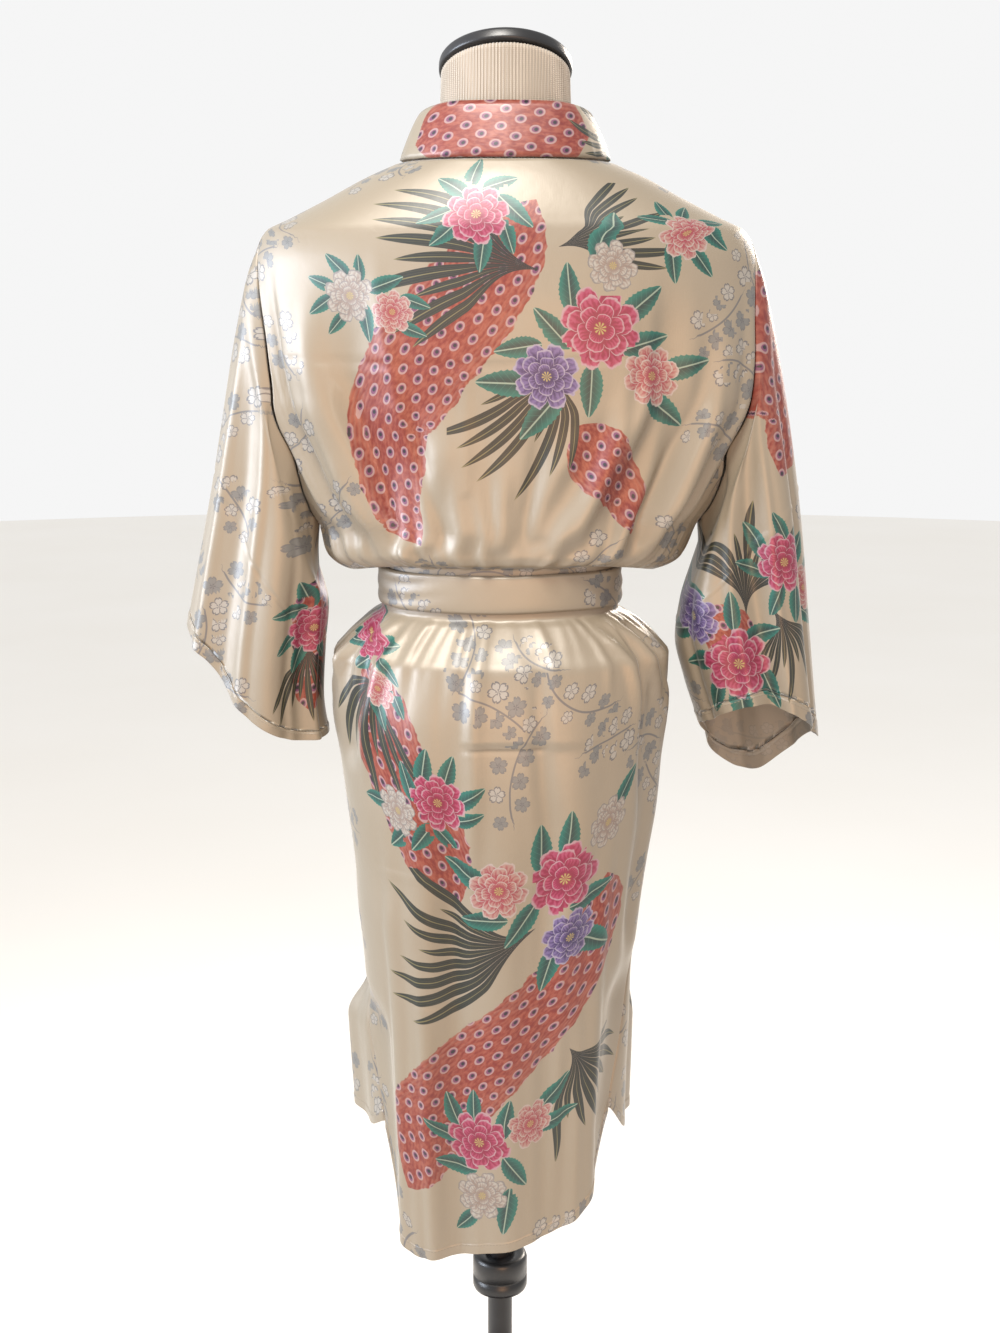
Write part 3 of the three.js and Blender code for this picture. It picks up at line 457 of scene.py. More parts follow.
def back_piece():
    def turn_of(across, z):
        return mix(side_turn(1, "back", z), side_turn(-1, "back", z), across)

    return panel_grid(132, 32, BACK_HEM, turn_of)


def front_piece(side):
    def turn_of(across, z):
        end = turn_at_x(side, side * front_edge(z), z)
        return mix(side_turn(side, "front", z), end, across)

    return panel_grid(78, 12, FRONT_HEMS[side], turn_of, slips=side < 0)


# The sleeves
def sleeve_points(side, rows, folds, turn, at):
    """A sleeve's places from the armhole's seam (at 0) to the cuff (at 1)."""
    row = table(rows, SLEEVE_COLUMNS)

    def plain(turn, at):
        turn, at = np.broadcast_arrays(turn, at)
        c, s = np.cos(turn * RAD), np.sin(turn * RAD)
        behind = s > 0
        out_x, out_z, in_x, in_z = (row[name](at) for name in SLEEVE_COLUMNS[:4])
        x = (out_x + in_x) / 2 + c * (out_x - in_x) / 2
        drop = np.where(behind, row["backDrop"](at), row["frontDrop"](at)) * s * s
        z = (out_z + in_z) / 2 + c * (out_z - in_z) / 2 - drop
        out = np.zeros(turn.shape)
        for fold_turn, width, depth, start, end in folds:
            grown = ease((at - start) / (end - start) / 0.6)
            out += depth * grown * hump(around(turn - fold_turn), width)
        depth = np.where(behind, row["back"](at), row["front"](at))
        y = row["midY"](at) + (depth + out) * power(s, 0.9)
        return np.stack([x + side * out * c, y, z], -1)

    def seam_at(turn):
        z = ARMHOLE_MIDDLE + ARMHOLE_REACH * 0.9995 * np.cos(turn * RAD)
        s = np.sin(turn * RAD)
        y = np.where(s > 0, ARMHOLE["back"], ARMHOLE["front"]) * s
        return turn_at_y(side, y, z), z

    def joined(turn, at):
        seam_turn, seam_z = seam_at(turn)
        gapless = body_point(seam_turn, seam_z) - plain(turn, 0 * turn)
        return plain(turn, at) + gapless * (1 - ease(np.asarray(at) / 0.35))[..., None]

    def normal_of(turn, at):
        beside = joined(turn + 1, at) - joined(turn - 1, at)
        down = joined(turn, np.minimum(1, at + 0.01)) - joined(turn, np.maximum(0, at - 0.01))
        return unit(np.cross(down, beside)) * side

    seam_turn, seam_z = seam_at(turn)
    facing = (body_normal(seam_turn, seam_z) * normal_of(turn, 0 * turn + 0.02)).sum(-1)
    gap = SEAM_GAP + 0.85 + 0.5 * hump(around(turn), 40) + CLOTH / 2 * (1 - facing)
    points = joined(turn, at)
    points[..., 0] += side * (gap - 0.9)
    return points


def sleeve_piece(side, rows, folds, creases):
    turn = np.linspace(0, 360, 169)[None]
    near_seam, near_hem = [0, 0.002, 0.004, 0.007], 1 - HEM_STEPS / SLEEVE_LENGTH
    at = np.concatenate([near_seam, np.linspace(0.012, 0.968, 100), near_hem])[:, None] + 0 * turn
    points = sleeve_points(side, rows, folds, turn + 0 * at, at)
    normal = grid_normals(points, True, points.mean(1, keepdims=True))
    above = (1 - at) * SLEEVE_LENGTH
    lift = hem_lift(above, turn * 0.33 + 2 * np.sin(turn * 0.11)) - seam_roll(at * SLEEVE_LENGTH)
    for place, depth in creases:
        lift += depth * hump((at - place) * SLEEVE_LENGTH - 8 * np.sin(turn * RAD), 3.5)
    return points + normal * lift[..., None], above


# The neck band, from the right hem round the neck to the left hem
BAND_SHARES = np.linspace(0, 1, 11)
BAND_HEIGHTS = np.concatenate([
    np.arange(468, 984, 4), np.arange(984, 1070, 1.6), np.arange(1070, 1345, 4),
])


def pressed_fold(fullness, edge, across, roundness):
    """Thickness of folded cloth, full in the middle and thin at its edges."""
    return BAND_CLOTH * fullness * (edge + (1 - edge) * np.sqrt(1 - np.abs(across) ** roundness))


def band_on_front(side, z):
    seam_x = front_edge(z) - SEAM_GAP - 0.5
    level = z - 10 * ease((z - 1040) / 120) * BAND_SHARES
    turn = turn_at_x(side, side * (seam_x - BAND_WIDTH * BAND_SHARES), level)
    lift = under_lift(turn, level) if side < 0 else 0.0
    return body_point(turn, level, lift)


def band_round_neck(side, row):
    turn, seam_z, x, y, z = row
    if turn is None:
        edge_x = np.array(side * (front_edge(seam_z) - SEAM_GAP))
        own, beside = turn_at_x(side, edge_x, np.array(float(seam_z))), 0.9
    else:
        own, beside = (turn if side > 0 else 180 - turn), abs(math.cos(turn * RAD))
    seam = body_point(np.array(float(own)), np.array(float(seam_z)))
    free = np.array([NECK_SHIFT + side * x, y, z], float)
    lean = unit(free - seam)
    seam = seam + lean * (SEAM_GAP + CLOTH / 2 + 0.4 + 0.9 * beside)
    return seam + (free - seam) * BAND_SHARES[:, None]


def band_piece():
    halves = {}
    for side in (-1, 1):
        on_front = [band_on_front(side, z) for z in BAND_HEIGHTS]
        halves[side] = on_front + [band_round_neck(side, row) for row in reversed(BAND_TURN)]
    rows = np.array(halves[-1] + halves[1][:-1][::-1])
    middle = rows[:, 5]
    length = np.concatenate([[0], np.cumsum(np.linalg.norm(np.diff(middle, axis=0), axis=1))])
    smooth = curve(length, rows.reshape(len(rows), -1))
    places = np.linspace(0, length[-1], int(length[-1] / 4))
    points = smooth(places).reshape(len(places), len(BAND_SHARES), 3)
    normal = grid_normals(points, False, points * [0, 0, 1])
    share = BAND_SHARES[None]
    pucker = 0.45 * (1 - share) ** 2 * np.sin(places[:, None] / 2.6 + 2 * np.sin(places[:, None] / 19))
    roll = 0.5 * np.sin(np.pi * share) - 0.5
    wave = 0.5 * np.sin(places[:, None] / 41 + 4 * share) * share
    thick = pressed_fold(0.9, 0.4, 2 * share - 1, 3)
    return points + normal * (pucker + roll + wave)[..., None], thick


# The belt
def belt_waist_piece():
    turn = np.linspace(0, 360, 289)[None]
    share = np.linspace(-0.5, 0.5, 13)[:, None]
    snug = body_point(turn, 0 * turn + WAIST_Z, 0 * turn + BELT_LIFT) + 0 * share[..., None]
    sway = 1.1 * np.sin(turn * RAD * 3 + 1) + 0.6 * np.sin(turn * RAD * 7)
    snug[..., 2] = WAIST_Z + share * (BELT_WIDTH - 0.8) + sway * 0.5
    normal = body_normal(turn, 0 * turn + WAIST_Z, 0 * turn + BELT_LIFT) * [1, 1, 0] + 0 * snug
    wrinkle = 0.6 * np.sin(share * 15 + 2.2 * np.sin(turn * RAD * 3)) * hump(around(turn * 2.3 - 60), 120)
    wrinkle += 0.5 * np.sin(turn * RAD * 9 + share * 5) * hump(around(turn - 150), 60)
    edge = -0.25 * np.abs(2 * share) ** 4
    return snug + unit(normal) * (wrinkle + edge)[..., None], pressed_fold(0.85, 0.35, 2 * share, 4)


def belt_knot_piece():
    face = float(BODY["front"](WAIST_Z)) + BELT_LIFT + BAND_CLOTH / 2
    middle_y = -(face + SEAM_GAP + BAND_CLOTH / 2 + KNOT["depth"] / 2)
    stretches = [(-1, -0.86, 7), (-0.82, 0.82, 34), (0.86, 1, 7)]
    t = np.concatenate([np.linspace(*stretch) for stretch in stretches])[:, None]
    a = np.linspace(0, 360, 97)[None] * RAD
    closing = np.sqrt(np.clip(1 - (np.abs(t) / 1.001) ** 9, 0, 1))
    pinch = (1 - 0.12 * t * t) * (0.12 + 0.88 * closing)
    ridge = 1 + 0.05 * np.cos(3 * a + 4 * t) + 0.04 * np.cos(7 * a - 9 * t)
    ridge = ridge - 0.06 * hump(t - 0.1 * np.sin(a), 0.16)
    x = t * KNOT["width"] / 2 * (0.97 + 0.03 * np.cos(2 * a))
    y = middle_y + power(np.cos(a), 0.8) * KNOT["depth"] / 2 * pinch * np.minimum(ridge, 1.03)
    z = WAIST_Z + power(np.sin(a), 0.8) * KNOT["height"] / 2 * pinch * ridge
    return np.stack(np.broadcast_arrays(x, y, z), -1)


def belt_tail_piece(tail):
    start = WAIST_Z - (KNOT["height"] + BAND_CLOTH) / 2 - 1.2
    z = np.arange(0, tail["length"] + 0.1, 3.5)
    z = (start - z * tail["length"] / z[-1])[:, None]
    share = np.linspace(0, 1, 13)[None]
    down = (start - z) / tail["length"]
    roll = 0.7 * np.sin(down * 9 + share * 3) * ease(down * 6) * ease((1 - down) * 6)
    lift = BELT_LIFT + TAIL_HANG * (1 - ease((start - z) / 36)) + 0.7 + roll
    narrow = 1 - 0.22 * (1 - ease((start - z) / 30))
    x = mix(tail["top"], tail["foot"], ease(down)) + BELT_WIDTH * (0.5 + (share - 0.5) * narrow)
    turn = turn_at_x(1, x, z + 0 * x)
    return body_point(turn, z + 0 * x, lift), pressed_fold(0.8, 0.35, 2 * share - 1, 4)


# Meshes
def grid_normals(points, loop, inside):
    """Outward normals of a grid; inside holds points that lie behind it."""
    if loop:
        core = points[:, :-1]
        beside = np.roll(core, -1, 1) - np.roll(core, 1, 1)
        beside = np.concatenate([beside, beside[:, :1]], 1)
    else:
        beside = np.gradient(points, axis=1)
    down = np.gradient(points, axis=0)
    normal = unit(np.cross(beside, down))
    return normal if ((points - inside) * normal).sum(-1).mean() > 0 else -normal


def shell_quads(rows, columns, loop):
    """Grid places and layers (0 outer, 1 inner) of a closed shell's quads."""
    grid = np.arange(rows * columns).reshape(rows, columns)
    outer = np.stack([grid[:-1, :-1], grid[:-1, 1:], grid[1:, 1:], grid[1:, :-1]], -1).reshape(-1, 4)
    lines = [grid[0], grid[-1][::-1]]
    if not loop:
        lines += [grid[:, 0][::-1], grid[:, -1]]
    rims = [np.stack([line[1:], line[:-1], line[:-1], line[1:]], -1) for line in lines]
    rim = np.concatenate(rims)
    places = np.concatenate([outer, outer[:, ::-1], rim])
    layers = np.concatenate([0 * outer, 0 * outer + 1, 0 * rim + [0, 0, 1, 1]])
    return places, layers


def grid_of(rows, columns):
    """Numbers of a closed ring's points, and of the points after them."""
    grid = np.arange(rows * columns).reshape(rows, columns)
    return grid, np.roll(grid, -1, 1)


def new_object(name, points, faces):
    """Makes a smooth mesh object from millimetre points."""
    mesh = bpy.data.meshes.new(name)
    mesh.from_pydata((points / 1000).tolist(), [], faces)
    mesh.polygons.foreach_set("use_smooth", np.ones(len(mesh.polygons), bool))
    mesh.update()
    made = bpy.data.objects.new(name, mesh)
    bpy.context.scene.collection.objects.link(made)
    return made


def in_frame(made, node, slot):
    """Gives a piece its finish, and says which node of the frame it replaces."""
    made.data.materials.append(FINISHES[slot])
    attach(made, "root")
    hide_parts(node)
    return made


def corner_values(mesh, name, values):
    """Stores one number or three at each corner of each face."""
    kind, key = ("FLOAT", "value") if values.shape[-1] == 1 else ("FLOAT_VECTOR", "vector")
    mesh.attributes.new(name, kind, "CORNER").data.foreach_set(key, values.astype(np.float32).ravel())


def lengths(points, axis):
    """How far each point lies along its line of the grid."""
    step = np.linalg.norm(np.diff(points, axis=axis), axis=-1)
    start = np.zeros_like(np.take(step, [0], axis))
    return np.concatenate([start, np.cumsum(step, axis=axis)], axis)


def smoothed(values, reach, axis):
    """Running mean, so that a pleat doesn't shake the print beyond it."""
    values = np.moveaxis(values, axis, 0)
    padded = np.concatenate([values[:1]] * reach + [values] + [values[-1:]] * reach)
    sums = np.cumsum(np.concatenate([0 * padded[:1], padded]), axis=0)
    span = 2 * reach + 1
    return np.moveaxis((sums[span:] - sums[:-span]) / span, 0, axis)


def flat_places(points, middle_column, middle_row):
    """The cut's own coordinates in metres: along the rows and the columns."""
    across = smoothed(lengths(points, 1), 6, 0)
    down = smoothed(lengths(points, 0), 14, 1)
    u = across - across[:, middle_column : middle_column + 1]
    v = down[middle_row : middle_row + 1] - down
    return np.stack([u, v], -1) / 1000


def tube_places(points):
    """A sleeve's own coordinates in metres: round it and along its middle."""
    axis = unit(points[-1].mean(0) - points[0].mean(0))
    step = np.diff(points, axis=1)
    step -= (step @ axis)[..., None] * axis
    round_it = np.cumsum(np.linalg.norm(step, axis=-1), axis=1)
    u = np.concatenate([0 * round_it[:, :1], round_it], 1)
    return np.stack([u, -(points @ axis)], -1) / 1000


def satin_piece(name, node, points, print_of, cut, thick=SATIN, loop=False,
                inside=None, flat=None, above=None):
    """A closed thin shell of printed satin, with its print's coordinates."""
    rows, columns = points.shape[:2]
    if inside is None:
        inside = points * [0, 0, 1]
    if flat is None:
        flat = flat_places(points, 0, 0)
    if above is None:
        above = np.full((rows, columns), UNHEMMED)
    normal = grid_normals(points, loop, inside)
    half = (np.asarray(thick) / 2 + np.zeros((rows, columns)))[..., None]
    kept = columns - 1 if loop else columns
    skins = [(points + normal * way)[:, :kept].reshape(-1, 3) for way in (half, -half)]
    number = (np.arange(rows)[:, None] * kept + np.arange(columns)[None] % kept).ravel()
    places, layers = shell_quads(rows, columns, loop)
    grid_normal = np.cross(points[0, 1] - points[0, 0], points[1, 0] - points[0, 0])
    if (grid_normal * normal[0, 0]).sum() < 0:
        places, layers = places[:, ::-1], layers[:, ::-1]
    faces = number[places] + layers * rows * kept
    made = new_object(name, np.concatenate(skins), faces.tolist())
    corners = flat.reshape(-1, 2)[places]
    along, nothing = corners[..., 0], 0 * corners[..., 0]
    carried = {
        "flat_cut": np.stack([along, corners[..., 1], nothing], -1),
        "inner_side": layers.mean(1)[:, None, None] + np.zeros(places.shape + (1,)),
        "hem_line": np.stack([above.ravel()[places] / 1000, along, nothing], -1),
        **print_of(points, flat, corners),
    }
    for layer, values in carried.items():
        corner_values(made.data, layer, values)
    in_frame(made, node, "printed_satin")
    width, length, share, held, rests_on = cut
    share * width * length


# The print: where each motif lies on the cut cloth
FLOWERS, LEAVES, SPRAYS, BLOSSOMS = "flowers", "leaves", "sprays", "blossoms"
PINK, PURPLE, PALE, CREAM = 0, 1, 2, 3


def heading(degrees):
    return np.array([math.cos(degrees * RAD), math.sin(degrees * RAD)])


# Flowers of a bunch: distance from the first in its radii, turn, and size
BUNCH = [(0.0, 0.0, 1.0), (1.55, 20.0, 0.8), (1.5, 118.0, 0.74), (1.5, 236.0, 0.62)]
BUNCH_LEAVES = 12


class Print:
    """Motifs placed on one piece of cloth, in metres of the flat cut."""

    def __init__(self, seed):
        self.stamps = {FLOWERS: [], LEAVES: [], SPRAYS: [], BLOSSOMS: []}
        self.ribbons = []
        self.dice = np.random.default_rng(seed)

    def stamp(self, layer, place, turn, size, kind=0.0):
        self.stamps[layer].append((*place, turn * RAD, size, kind))

    def ribbon(self, points, kind=1.0):
        """points are (u, v, half width) along the ribbon's middle."""
        points = np.array(points, float)
        reach = np.linspace(0, len(points) - 1, 40)
        line = curve(np.arange(len(points)), points)(reach)
        if kind > 0:
            share = reach / reach[-1]
            line[:, 2] *= np.sqrt(np.clip(np.minimum(share, 1 - share) / 0.1, 0, 1))
        self.ribbons.append((line, kind))

    def twig(self, start, turn, length, bend):
        """A thin curved twig with blossoms on both sides."""
        steps = np.linspace(0, 1, 9)
        ways = (turn + bend * (steps - 0.5)) * RAD
        moves = np.stack([np.cos(ways), np.sin(ways)], -1) * length / 8
        spine = np.array(start) + np.concatenate([[[0, 0]], np.cumsum(moves[:-1], 0)])
        self.ribbon(np.concatenate([spine, 0 * spine[:, :1] + 0.004], -1), -1.0)
        for k, (place, way) in enumerate(zip(spine, ways)):
            side = 1 if k % 2 else -1
            away = side * self.dice.uniform(0.006, 0.016)
            spot = place + away * np.array([-math.sin(way), math.cos(way)])
            size = self.dice.uniform(0.0065, 0.0115)
            self.stamp(BLOSSOMS, spot, self.dice.uniform(0, 360), size, self.dice.integers(0, 2))

    def bunch(self, place, turn, size, kinds):
        """Peonies close together, with leaves round them."""
        place = np.array(place)
        for kind, (away, way, share) in zip(kinds, BUNCH):
            spread = 1.12 if share > 0.7 else 1
            spot = place + away * size * heading(turn + way) * spread
            self.stamp(FLOWERS, spot, self.dice.uniform(0, 360), size * share, kind)
        middle = place + size * 0.7 * heading(turn + 60)
        for k in range(BUNCH_LEAVES):
            way = turn + k * 360 / BUNCH_LEAVES + self.dice.uniform(-7, 7)
            spot = middle + heading(way) * self.edge_of_flowers(middle, heading(way), size)
            leaf = size * self.dice.uniform(0.54, 0.76)
            others = self.stamps[LEAVES]
            if all(np.linalg.norm(spot - s[:2]) > 0.47 * (leaf + s[3]) + 0.003 for s in others):
                self.stamp(LEAVES, spot, way + self.dice.uniform(-20, 20), leaf)

    def edge_of_flowers(self, middle, way, size):
        """Distance from middle to the last flower met along a way."""
        far = size * 0.6
        for u, v, _, radius, _ in self.stamps[FLOWERS]:
            away = np.array([u, v]) - middle
            along = away @ way
            beside = abs(away[0] * way[1] - away[1] * way[0])
            if np.linalg.norm(away) < 4 * size and beside < radius and along > 0:
                far = max(far, along + math.sqrt(radius**2 - beside**2))
        return far + size * 0.18

    def scatter(self, flat, count, spacing):
        """Blossom twigs over the open ground, clear of the larger motifs."""
        low, high = flat.reshape(-1, 2).min(0), flat.reshape(-1, 2).max(0)
        taken = [(np.array(s[:2]), s[3] + 0.02) for n in (FLOWERS, SPRAYS) for s in self.stamps[n]]
        for points, kind in self.ribbons:
            if kind > 0:
                taken += [(p[:2], p[2] + 0.012) for p in points[::2]]
        made = 0
        for _ in range(count * 30):
            start = low + self.dice.uniform(0, 1, 2) * (high - low)
            turn, length = self.dice.uniform(0, 360), self.dice.uniform(0.05, 0.1)
            middle = start + 0.5 * length * heading(turn)
            if all(np.linalg.norm(middle - p) > r + length * 0.42 for p, r in taken):
                self.twig(start, turn, length, self.dice.uniform(-80, 80))
                taken.append((middle, spacing))
                made += 1
            if made >= count:
                break

    def values(self, corners):
        """Each layer's motif coordinates at every corner of every face."""
        middles = corners.mean(1)
        found = {}
        for layer, stamps in self.stamps.items():
            values = np.zeros(corners.shape[:2] + (3,))
            values[..., :2] = 9
            for u, v, turn, size, kind in stamps:
                c, s = math.cos(turn), math.sin(turn)
                gap = middles - [u, v]
                near = np.linalg.norm(gap, axis=1) < size * 1.02 + 0.004
                if layer == LEAVES:
                    near &= np.abs(gap[:, 1] * c - gap[:, 0] * s) < size * 0.47 + 0.0022
                away = corners[near] - [u, v]
                x = (away[..., 0] * c + away[..., 1] * s) / size
                y = (away[..., 1] * c - away[..., 0] * s) / size
                values[near] = np.stack([x, y, 0 * x + kind + 0.5], -1)
            found[layer] = values
        found["ribbons"] = self.ribbon_values(corners, middles)
        return found

    def ribbon_values(self, corners, middles):
        values = np.zeros(corners.shape[:2] + (3,))
        values[..., 1] = 9
        nearest = np.full(len(corners), 1e9)
        for points, kind in self.ribbons:
            widest = points[:, 2].max() + 0.008
            low, high = points[:, :2].min(0) - widest, points[:, :2].max(0) + widest
            near = np.flatnonzero(((middles > low) & (middles < high)).all(1))
            if not len(near):
                continue
            spots = spine_places(points, corners[near].reshape(-1, 2))
            along, across, half = (spot.reshape(len(near), 4) for spot in spots)
            share = np.abs(across).min(1) - half.mean(1)
            better = (share < 0.004) & (share < nearest[near])
            nearest[near[better]] = share[better]
            values[near[better]] = np.stack([along, across, half * kind], -1)[better]
        return values


def spine_places(points, spots):
    """Along, across and half width of spots beside a line of points."""
    start, step = points[:-1, :2], np.diff(points[:, :2], axis=0)
    long = np.linalg.norm(step, axis=1)
    before = np.concatenate([[0], np.cumsum(long)[:-1]])
    best = np.full(len(spots), 1e9)
    along, across, half = np.zeros(len(spots)), np.full(len(spots), 9.0), np.zeros(len(spots))
    for k in range(len(step)):
        away = spots - start[k]
        share = away @ step[k] / long[k] ** 2
        held = np.clip(share, 0, 1)
        gap = np.linalg.norm(away - held[:, None] * step[k], axis=1)
        side = np.sign(step[k, 0] * away[:, 1] - step[k, 1] * away[:, 0])
        closer = gap < best
        best[closer] = gap[closer]
        along[closer] = (before[k] + held * long[k])[closer]
        across[closer] = (gap * side)[closer]
        half[closer] = mix(points[k, 2], points[k + 1, 2], held)[closer]
    return along, across, half


def finder(points, flat, face):
    """Turns a place seen from behind (face 1), from in front (-1) or from
    either (0) into metres of the flat cut."""
    middle = points.mean(1, keepdims=True)
    shown = (points[..., 1] - middle[..., 1]) * face >= -2

    def find(x, z):
        away = np.hypot(points[..., 0] - x, points[..., 2] - z) + np.where(shown, 0, 1e4)
        return flat.reshape(-1, 2)[np.argmin(away)]

    return find


def printed(seed, motifs, twigs, spacing, side=1):
    """The print of one piece: its motifs, then blossom twigs between them."""

    def place(points, flat, corners):
        drawn = Print(seed)
        for face, ribbons, bunches, sprays in motifs:
            find = finder(points, flat, face)
            for ribbon in ribbons:
                drawn.ribbon([(*find(side * x, z), half / 1000) for x, z, half in ribbon])
            for x, z, turn, size, kinds in bunches:
                drawn.bunch(find(side * x, z), turn, size / 1000, kinds)
            for x, z, turn, size, number in sprays:
                drawn.stamp(SPRAYS, find(side * x, z), turn, size / 1000, number)
        drawn.scatter(flat, twigs, spacing)
        return drawn.values(corners)

    return place


# Motifs in millimetres on the hanging robe, x growing to the outside on a side's
# own piece: the face, ribbons of (x, z, half width), bunches of (x, z, turn,
# size, kinds), and sprays of (x, z, turn, size, number).
BACK_MOTIFS = [(
    0,
    [
        [(-30, 1372, 12), (-10, 1335, 34), (30, 1285, 44), (75, 1230, 47), (100, 1170, 40),
         (92, 1110, 26), (70, 1072, 10)],
        [(-120, 1080, 6), (-112, 1110, 20), (-86, 1150, 30), (-70, 1180, 12)],
        [(120, 965, 12), (118, 930, 34), (96, 870, 42), (62, 800, 38), (36, 740, 14)],
        [(-100, 770, 10), (-96, 730, 30), (-66, 670, 40), (-20, 610, 44), (34, 560, 44),
         (76, 500, 36), (88, 446, 12)],
    ],
    [
        (-88, 1262, 200, 37, [PINK, PURPLE, PALE, CREAM]),
        (22, 1362, 30, 29, [PINK]),
        (-165, 1345, 60, 26, [PALE]),
        (130, 1292, 320, 24, [CREAM, PALE]),
        (58, 838, 190, 27, [PINK, CREAM]),
        (-58, 770, 160, 36, [PINK, PALE, PURPLE, CREAM]),
        (20, 500, 250, 32, [PINK, CREAM, PALE]),
        (118, 985, 280, 22, [PINK, PALE]),
    ],
    [
        (52, 1330, 170, 88, 1), (-112, 1352, 20, 60, 2), (-30, 1175, 255, 70, 3),
        (128, 900, 250, 75, 4), (46, 690, 200, 85, 5), (-92, 560, 300, 70, 6),
    ],
)]
FRONT_MOTIFS = [(
    0,
    [
        [(150, 1330, 10), (140, 1280, 34), (110, 1215, 42), (70, 1150, 32), (52, 1095, 10)],
        [(40, 930, 10), (52, 880, 34), (82, 810, 42), (96, 740, 34), (84, 680, 10)],
    ],
    [
        (95, 1310, 100, 34, [PINK, PURPLE, PALE]),
        (60, 690, 160, 36, [PINK, PALE, PURPLE, CREAM]),
        (104, 930, 60, 28, [PALE, PINK]),
        (74, 545, 240, 30, [PINK, CREAM]),
    ],
    [(150, 1180, 240, 80, 1), (30, 780, 80, 75, 2), (120, 600, 110, 70, 3)],
)]
SLEEVE_FRONT_MOTIFS = (
    -1,
    [[(225, 1270, 10), (240, 1215, 30), (262, 1120, 30), (268, 1060, 10)]],
    [(236, 1150, 240, 30, [PINK, PALE, PURPLE])],
    [(240, 1040, 280, 60, 5)],
)
LEFT_SLEEVE_MOTIFS = [(
    1,
    [[(172, 1040, 8), (170, 1000, 22), (176, 940, 24), (180, 905, 8)]],
    [(176, 985, 60, 24, [PINK, PURPLE])],
    [(185, 930, 280, 45, 2)],
), SLEEVE_FRONT_MOTIFS]
RIGHT_SLEEVE_MOTIFS = [(
    1,
    [
        [(246, 1330, 8), (246, 1270, 30), (262, 1190, 34), (258, 1130, 12)],
        [(190, 1010, 8), (215, 985, 26), (238, 950, 10)],
    ],
    [(262, 1050, 200, 28, [PINK, PALE]), (222, 958, 30, 34, [PINK, PURPLE])],
    [(228, 1060, 100, 60, 2), (275, 965, 250, 50, 4)],
), SLEEVE_FRONT_MOTIFS]


def band_print(points, flat, corners):
    """The band's middle stretch round the neck is mostly coral. Its motifs lie
    in metres across it and along it from its middle."""
    drawn = Print(31)
    middle = (flat[..., 1].min() + flat[..., 1].max()) / 2
    drawn.ribbon([
        (0.02, middle - 0.084, 0.012), (0.022, middle - 0.05, 0.034), (0.028, middle + 0.02, 0.036),
        (0.024, middle + 0.055, 0.032), (0.012, middle + 0.08, 0.012),
    ])
    for away, kind in ((-0.13, PALE), (0.2, PINK), (-0.33, PINK), (0.5, PURPLE), (-0.62, PINK), (0.78, PINK)):
        drawn.bunch((0.026, middle + away), 90, 0.019, [kind])
    for away in (-0.1, 0.36, -0.48, 0.66, -0.8):
        drawn.stamp(SPRAYS, (0.028, middle + away), 80, 0.045, 3)
    for away in (0.42, -0.4, 0.9, -0.9):
        ends = [(0.02, middle + away - 0.05, 0.012), (0.02, middle + away + 0.05, 0.012)]
        drawn.ribbon([ends[0], (0.028, middle + away, 0.03), ends[1]])
    drawn.scatter(flat, 30, 0.03)
    return drawn.values(corners)


# Materials
def ink(hex_colour):
    """An sRGB hex colour as the linear values that a material needs."""
    parts = [int(hex_colour[i : i + 2], 16) / 255 for i in (1, 3, 5)]
    return tuple(c / 12.92 if c <= 0.04045 else ((c + 0.055) / 1.055) ** 2.4 for c in parts) + (1.0,)


def put(tree, kind, inputs=(), **settings):
    """Adds a node with its settings, and fills or links its inputs."""
    node = tree.nodes.new("ShaderNode" + kind)
    for name, value in settings.items():
        setattr(node, name, value)
    for place, value in inputs.items() if isinstance(inputs, dict) else enumerate(inputs):
        value = getattr(value, "socket", value)
        if isinstance(value, bpy.types.NodeSocket):
            tree.links.new(value, node.inputs[place])
        elif value is not None:
            node.inputs[place].default_value = value
    return node


class Amount:
    """A number inside a material, so that sums are written as sums."""

    def __init__(self, socket):
        self.socket = socket

    def work(self, operation, *inputs):
        tree = self.socket.id_data
        return Amount(put(tree, "Math", inputs, operation=operation).outputs[0])

    def __rsub__(self, other):
        return self.work("SUBTRACT", other, self)

    def step(self, low, high):
        """0 at low and beyond, 1 at high and beyond, soft between."""
        inputs = [self, low, high]
        node = put(self.socket.id_data, "MapRange", inputs, interpolation_type="SMOOTHSTEP")
        return Amount(node.outputs[0])


def worked(operation):
    return lambda self, *others: self.work(operation, self, *others)


OPERATIONS = {
    "__add__": "ADD", "__radd__": "ADD", "__sub__": "SUBTRACT", "__mul__": "MULTIPLY",
    "__rmul__": "MULTIPLY", "__truediv__": "DIVIDE", "__pow__": "POWER", "size": "ABSOLUTE",
    "sine": "SINE", "whole": "FLOOR", "part": "FRACT", "most": "MAXIMUM", "turn_from": "ARCTAN2",
}
for word, operation in OPERATIONS.items():
    setattr(Amount, word, worked(operation))


def over(below, colour, cover):
    """Prints one colour over another where cover is 1."""
    layers = [ink(layer) if isinstance(layer, str) else layer for layer in (below, colour)]
    inputs = {0: cover, 6: layers[0], 7: layers[1]}
    return put(cover.socket.id_data, "Mix", inputs, data_type="RGBA").outputs[2]


FINISHES = {}


def new_finish(name):
    """A new material's empty node tree."""
    material = bpy.data.materials.new(name)
    material.use_nodes = True
    material.node_tree.nodes.clear()
    FINISHES[name] = material
    return material.node_tree


def shade(tree, settings):
    """The material's one shader, linked to its output."""
    shader = put(tree, "BsdfPrincipled", settings)
    put(tree, "OutputMaterial", [shader.outputs[0]])


def bump(tree, strength, depth, height, normal=None):
    """The tilt of a surface whose relief is depth metres high."""
    inputs = {"Strength": strength, "Distance": depth, "Height": height, "Normal": normal}
    return put(tree, "Bump", inputs).outputs[0]


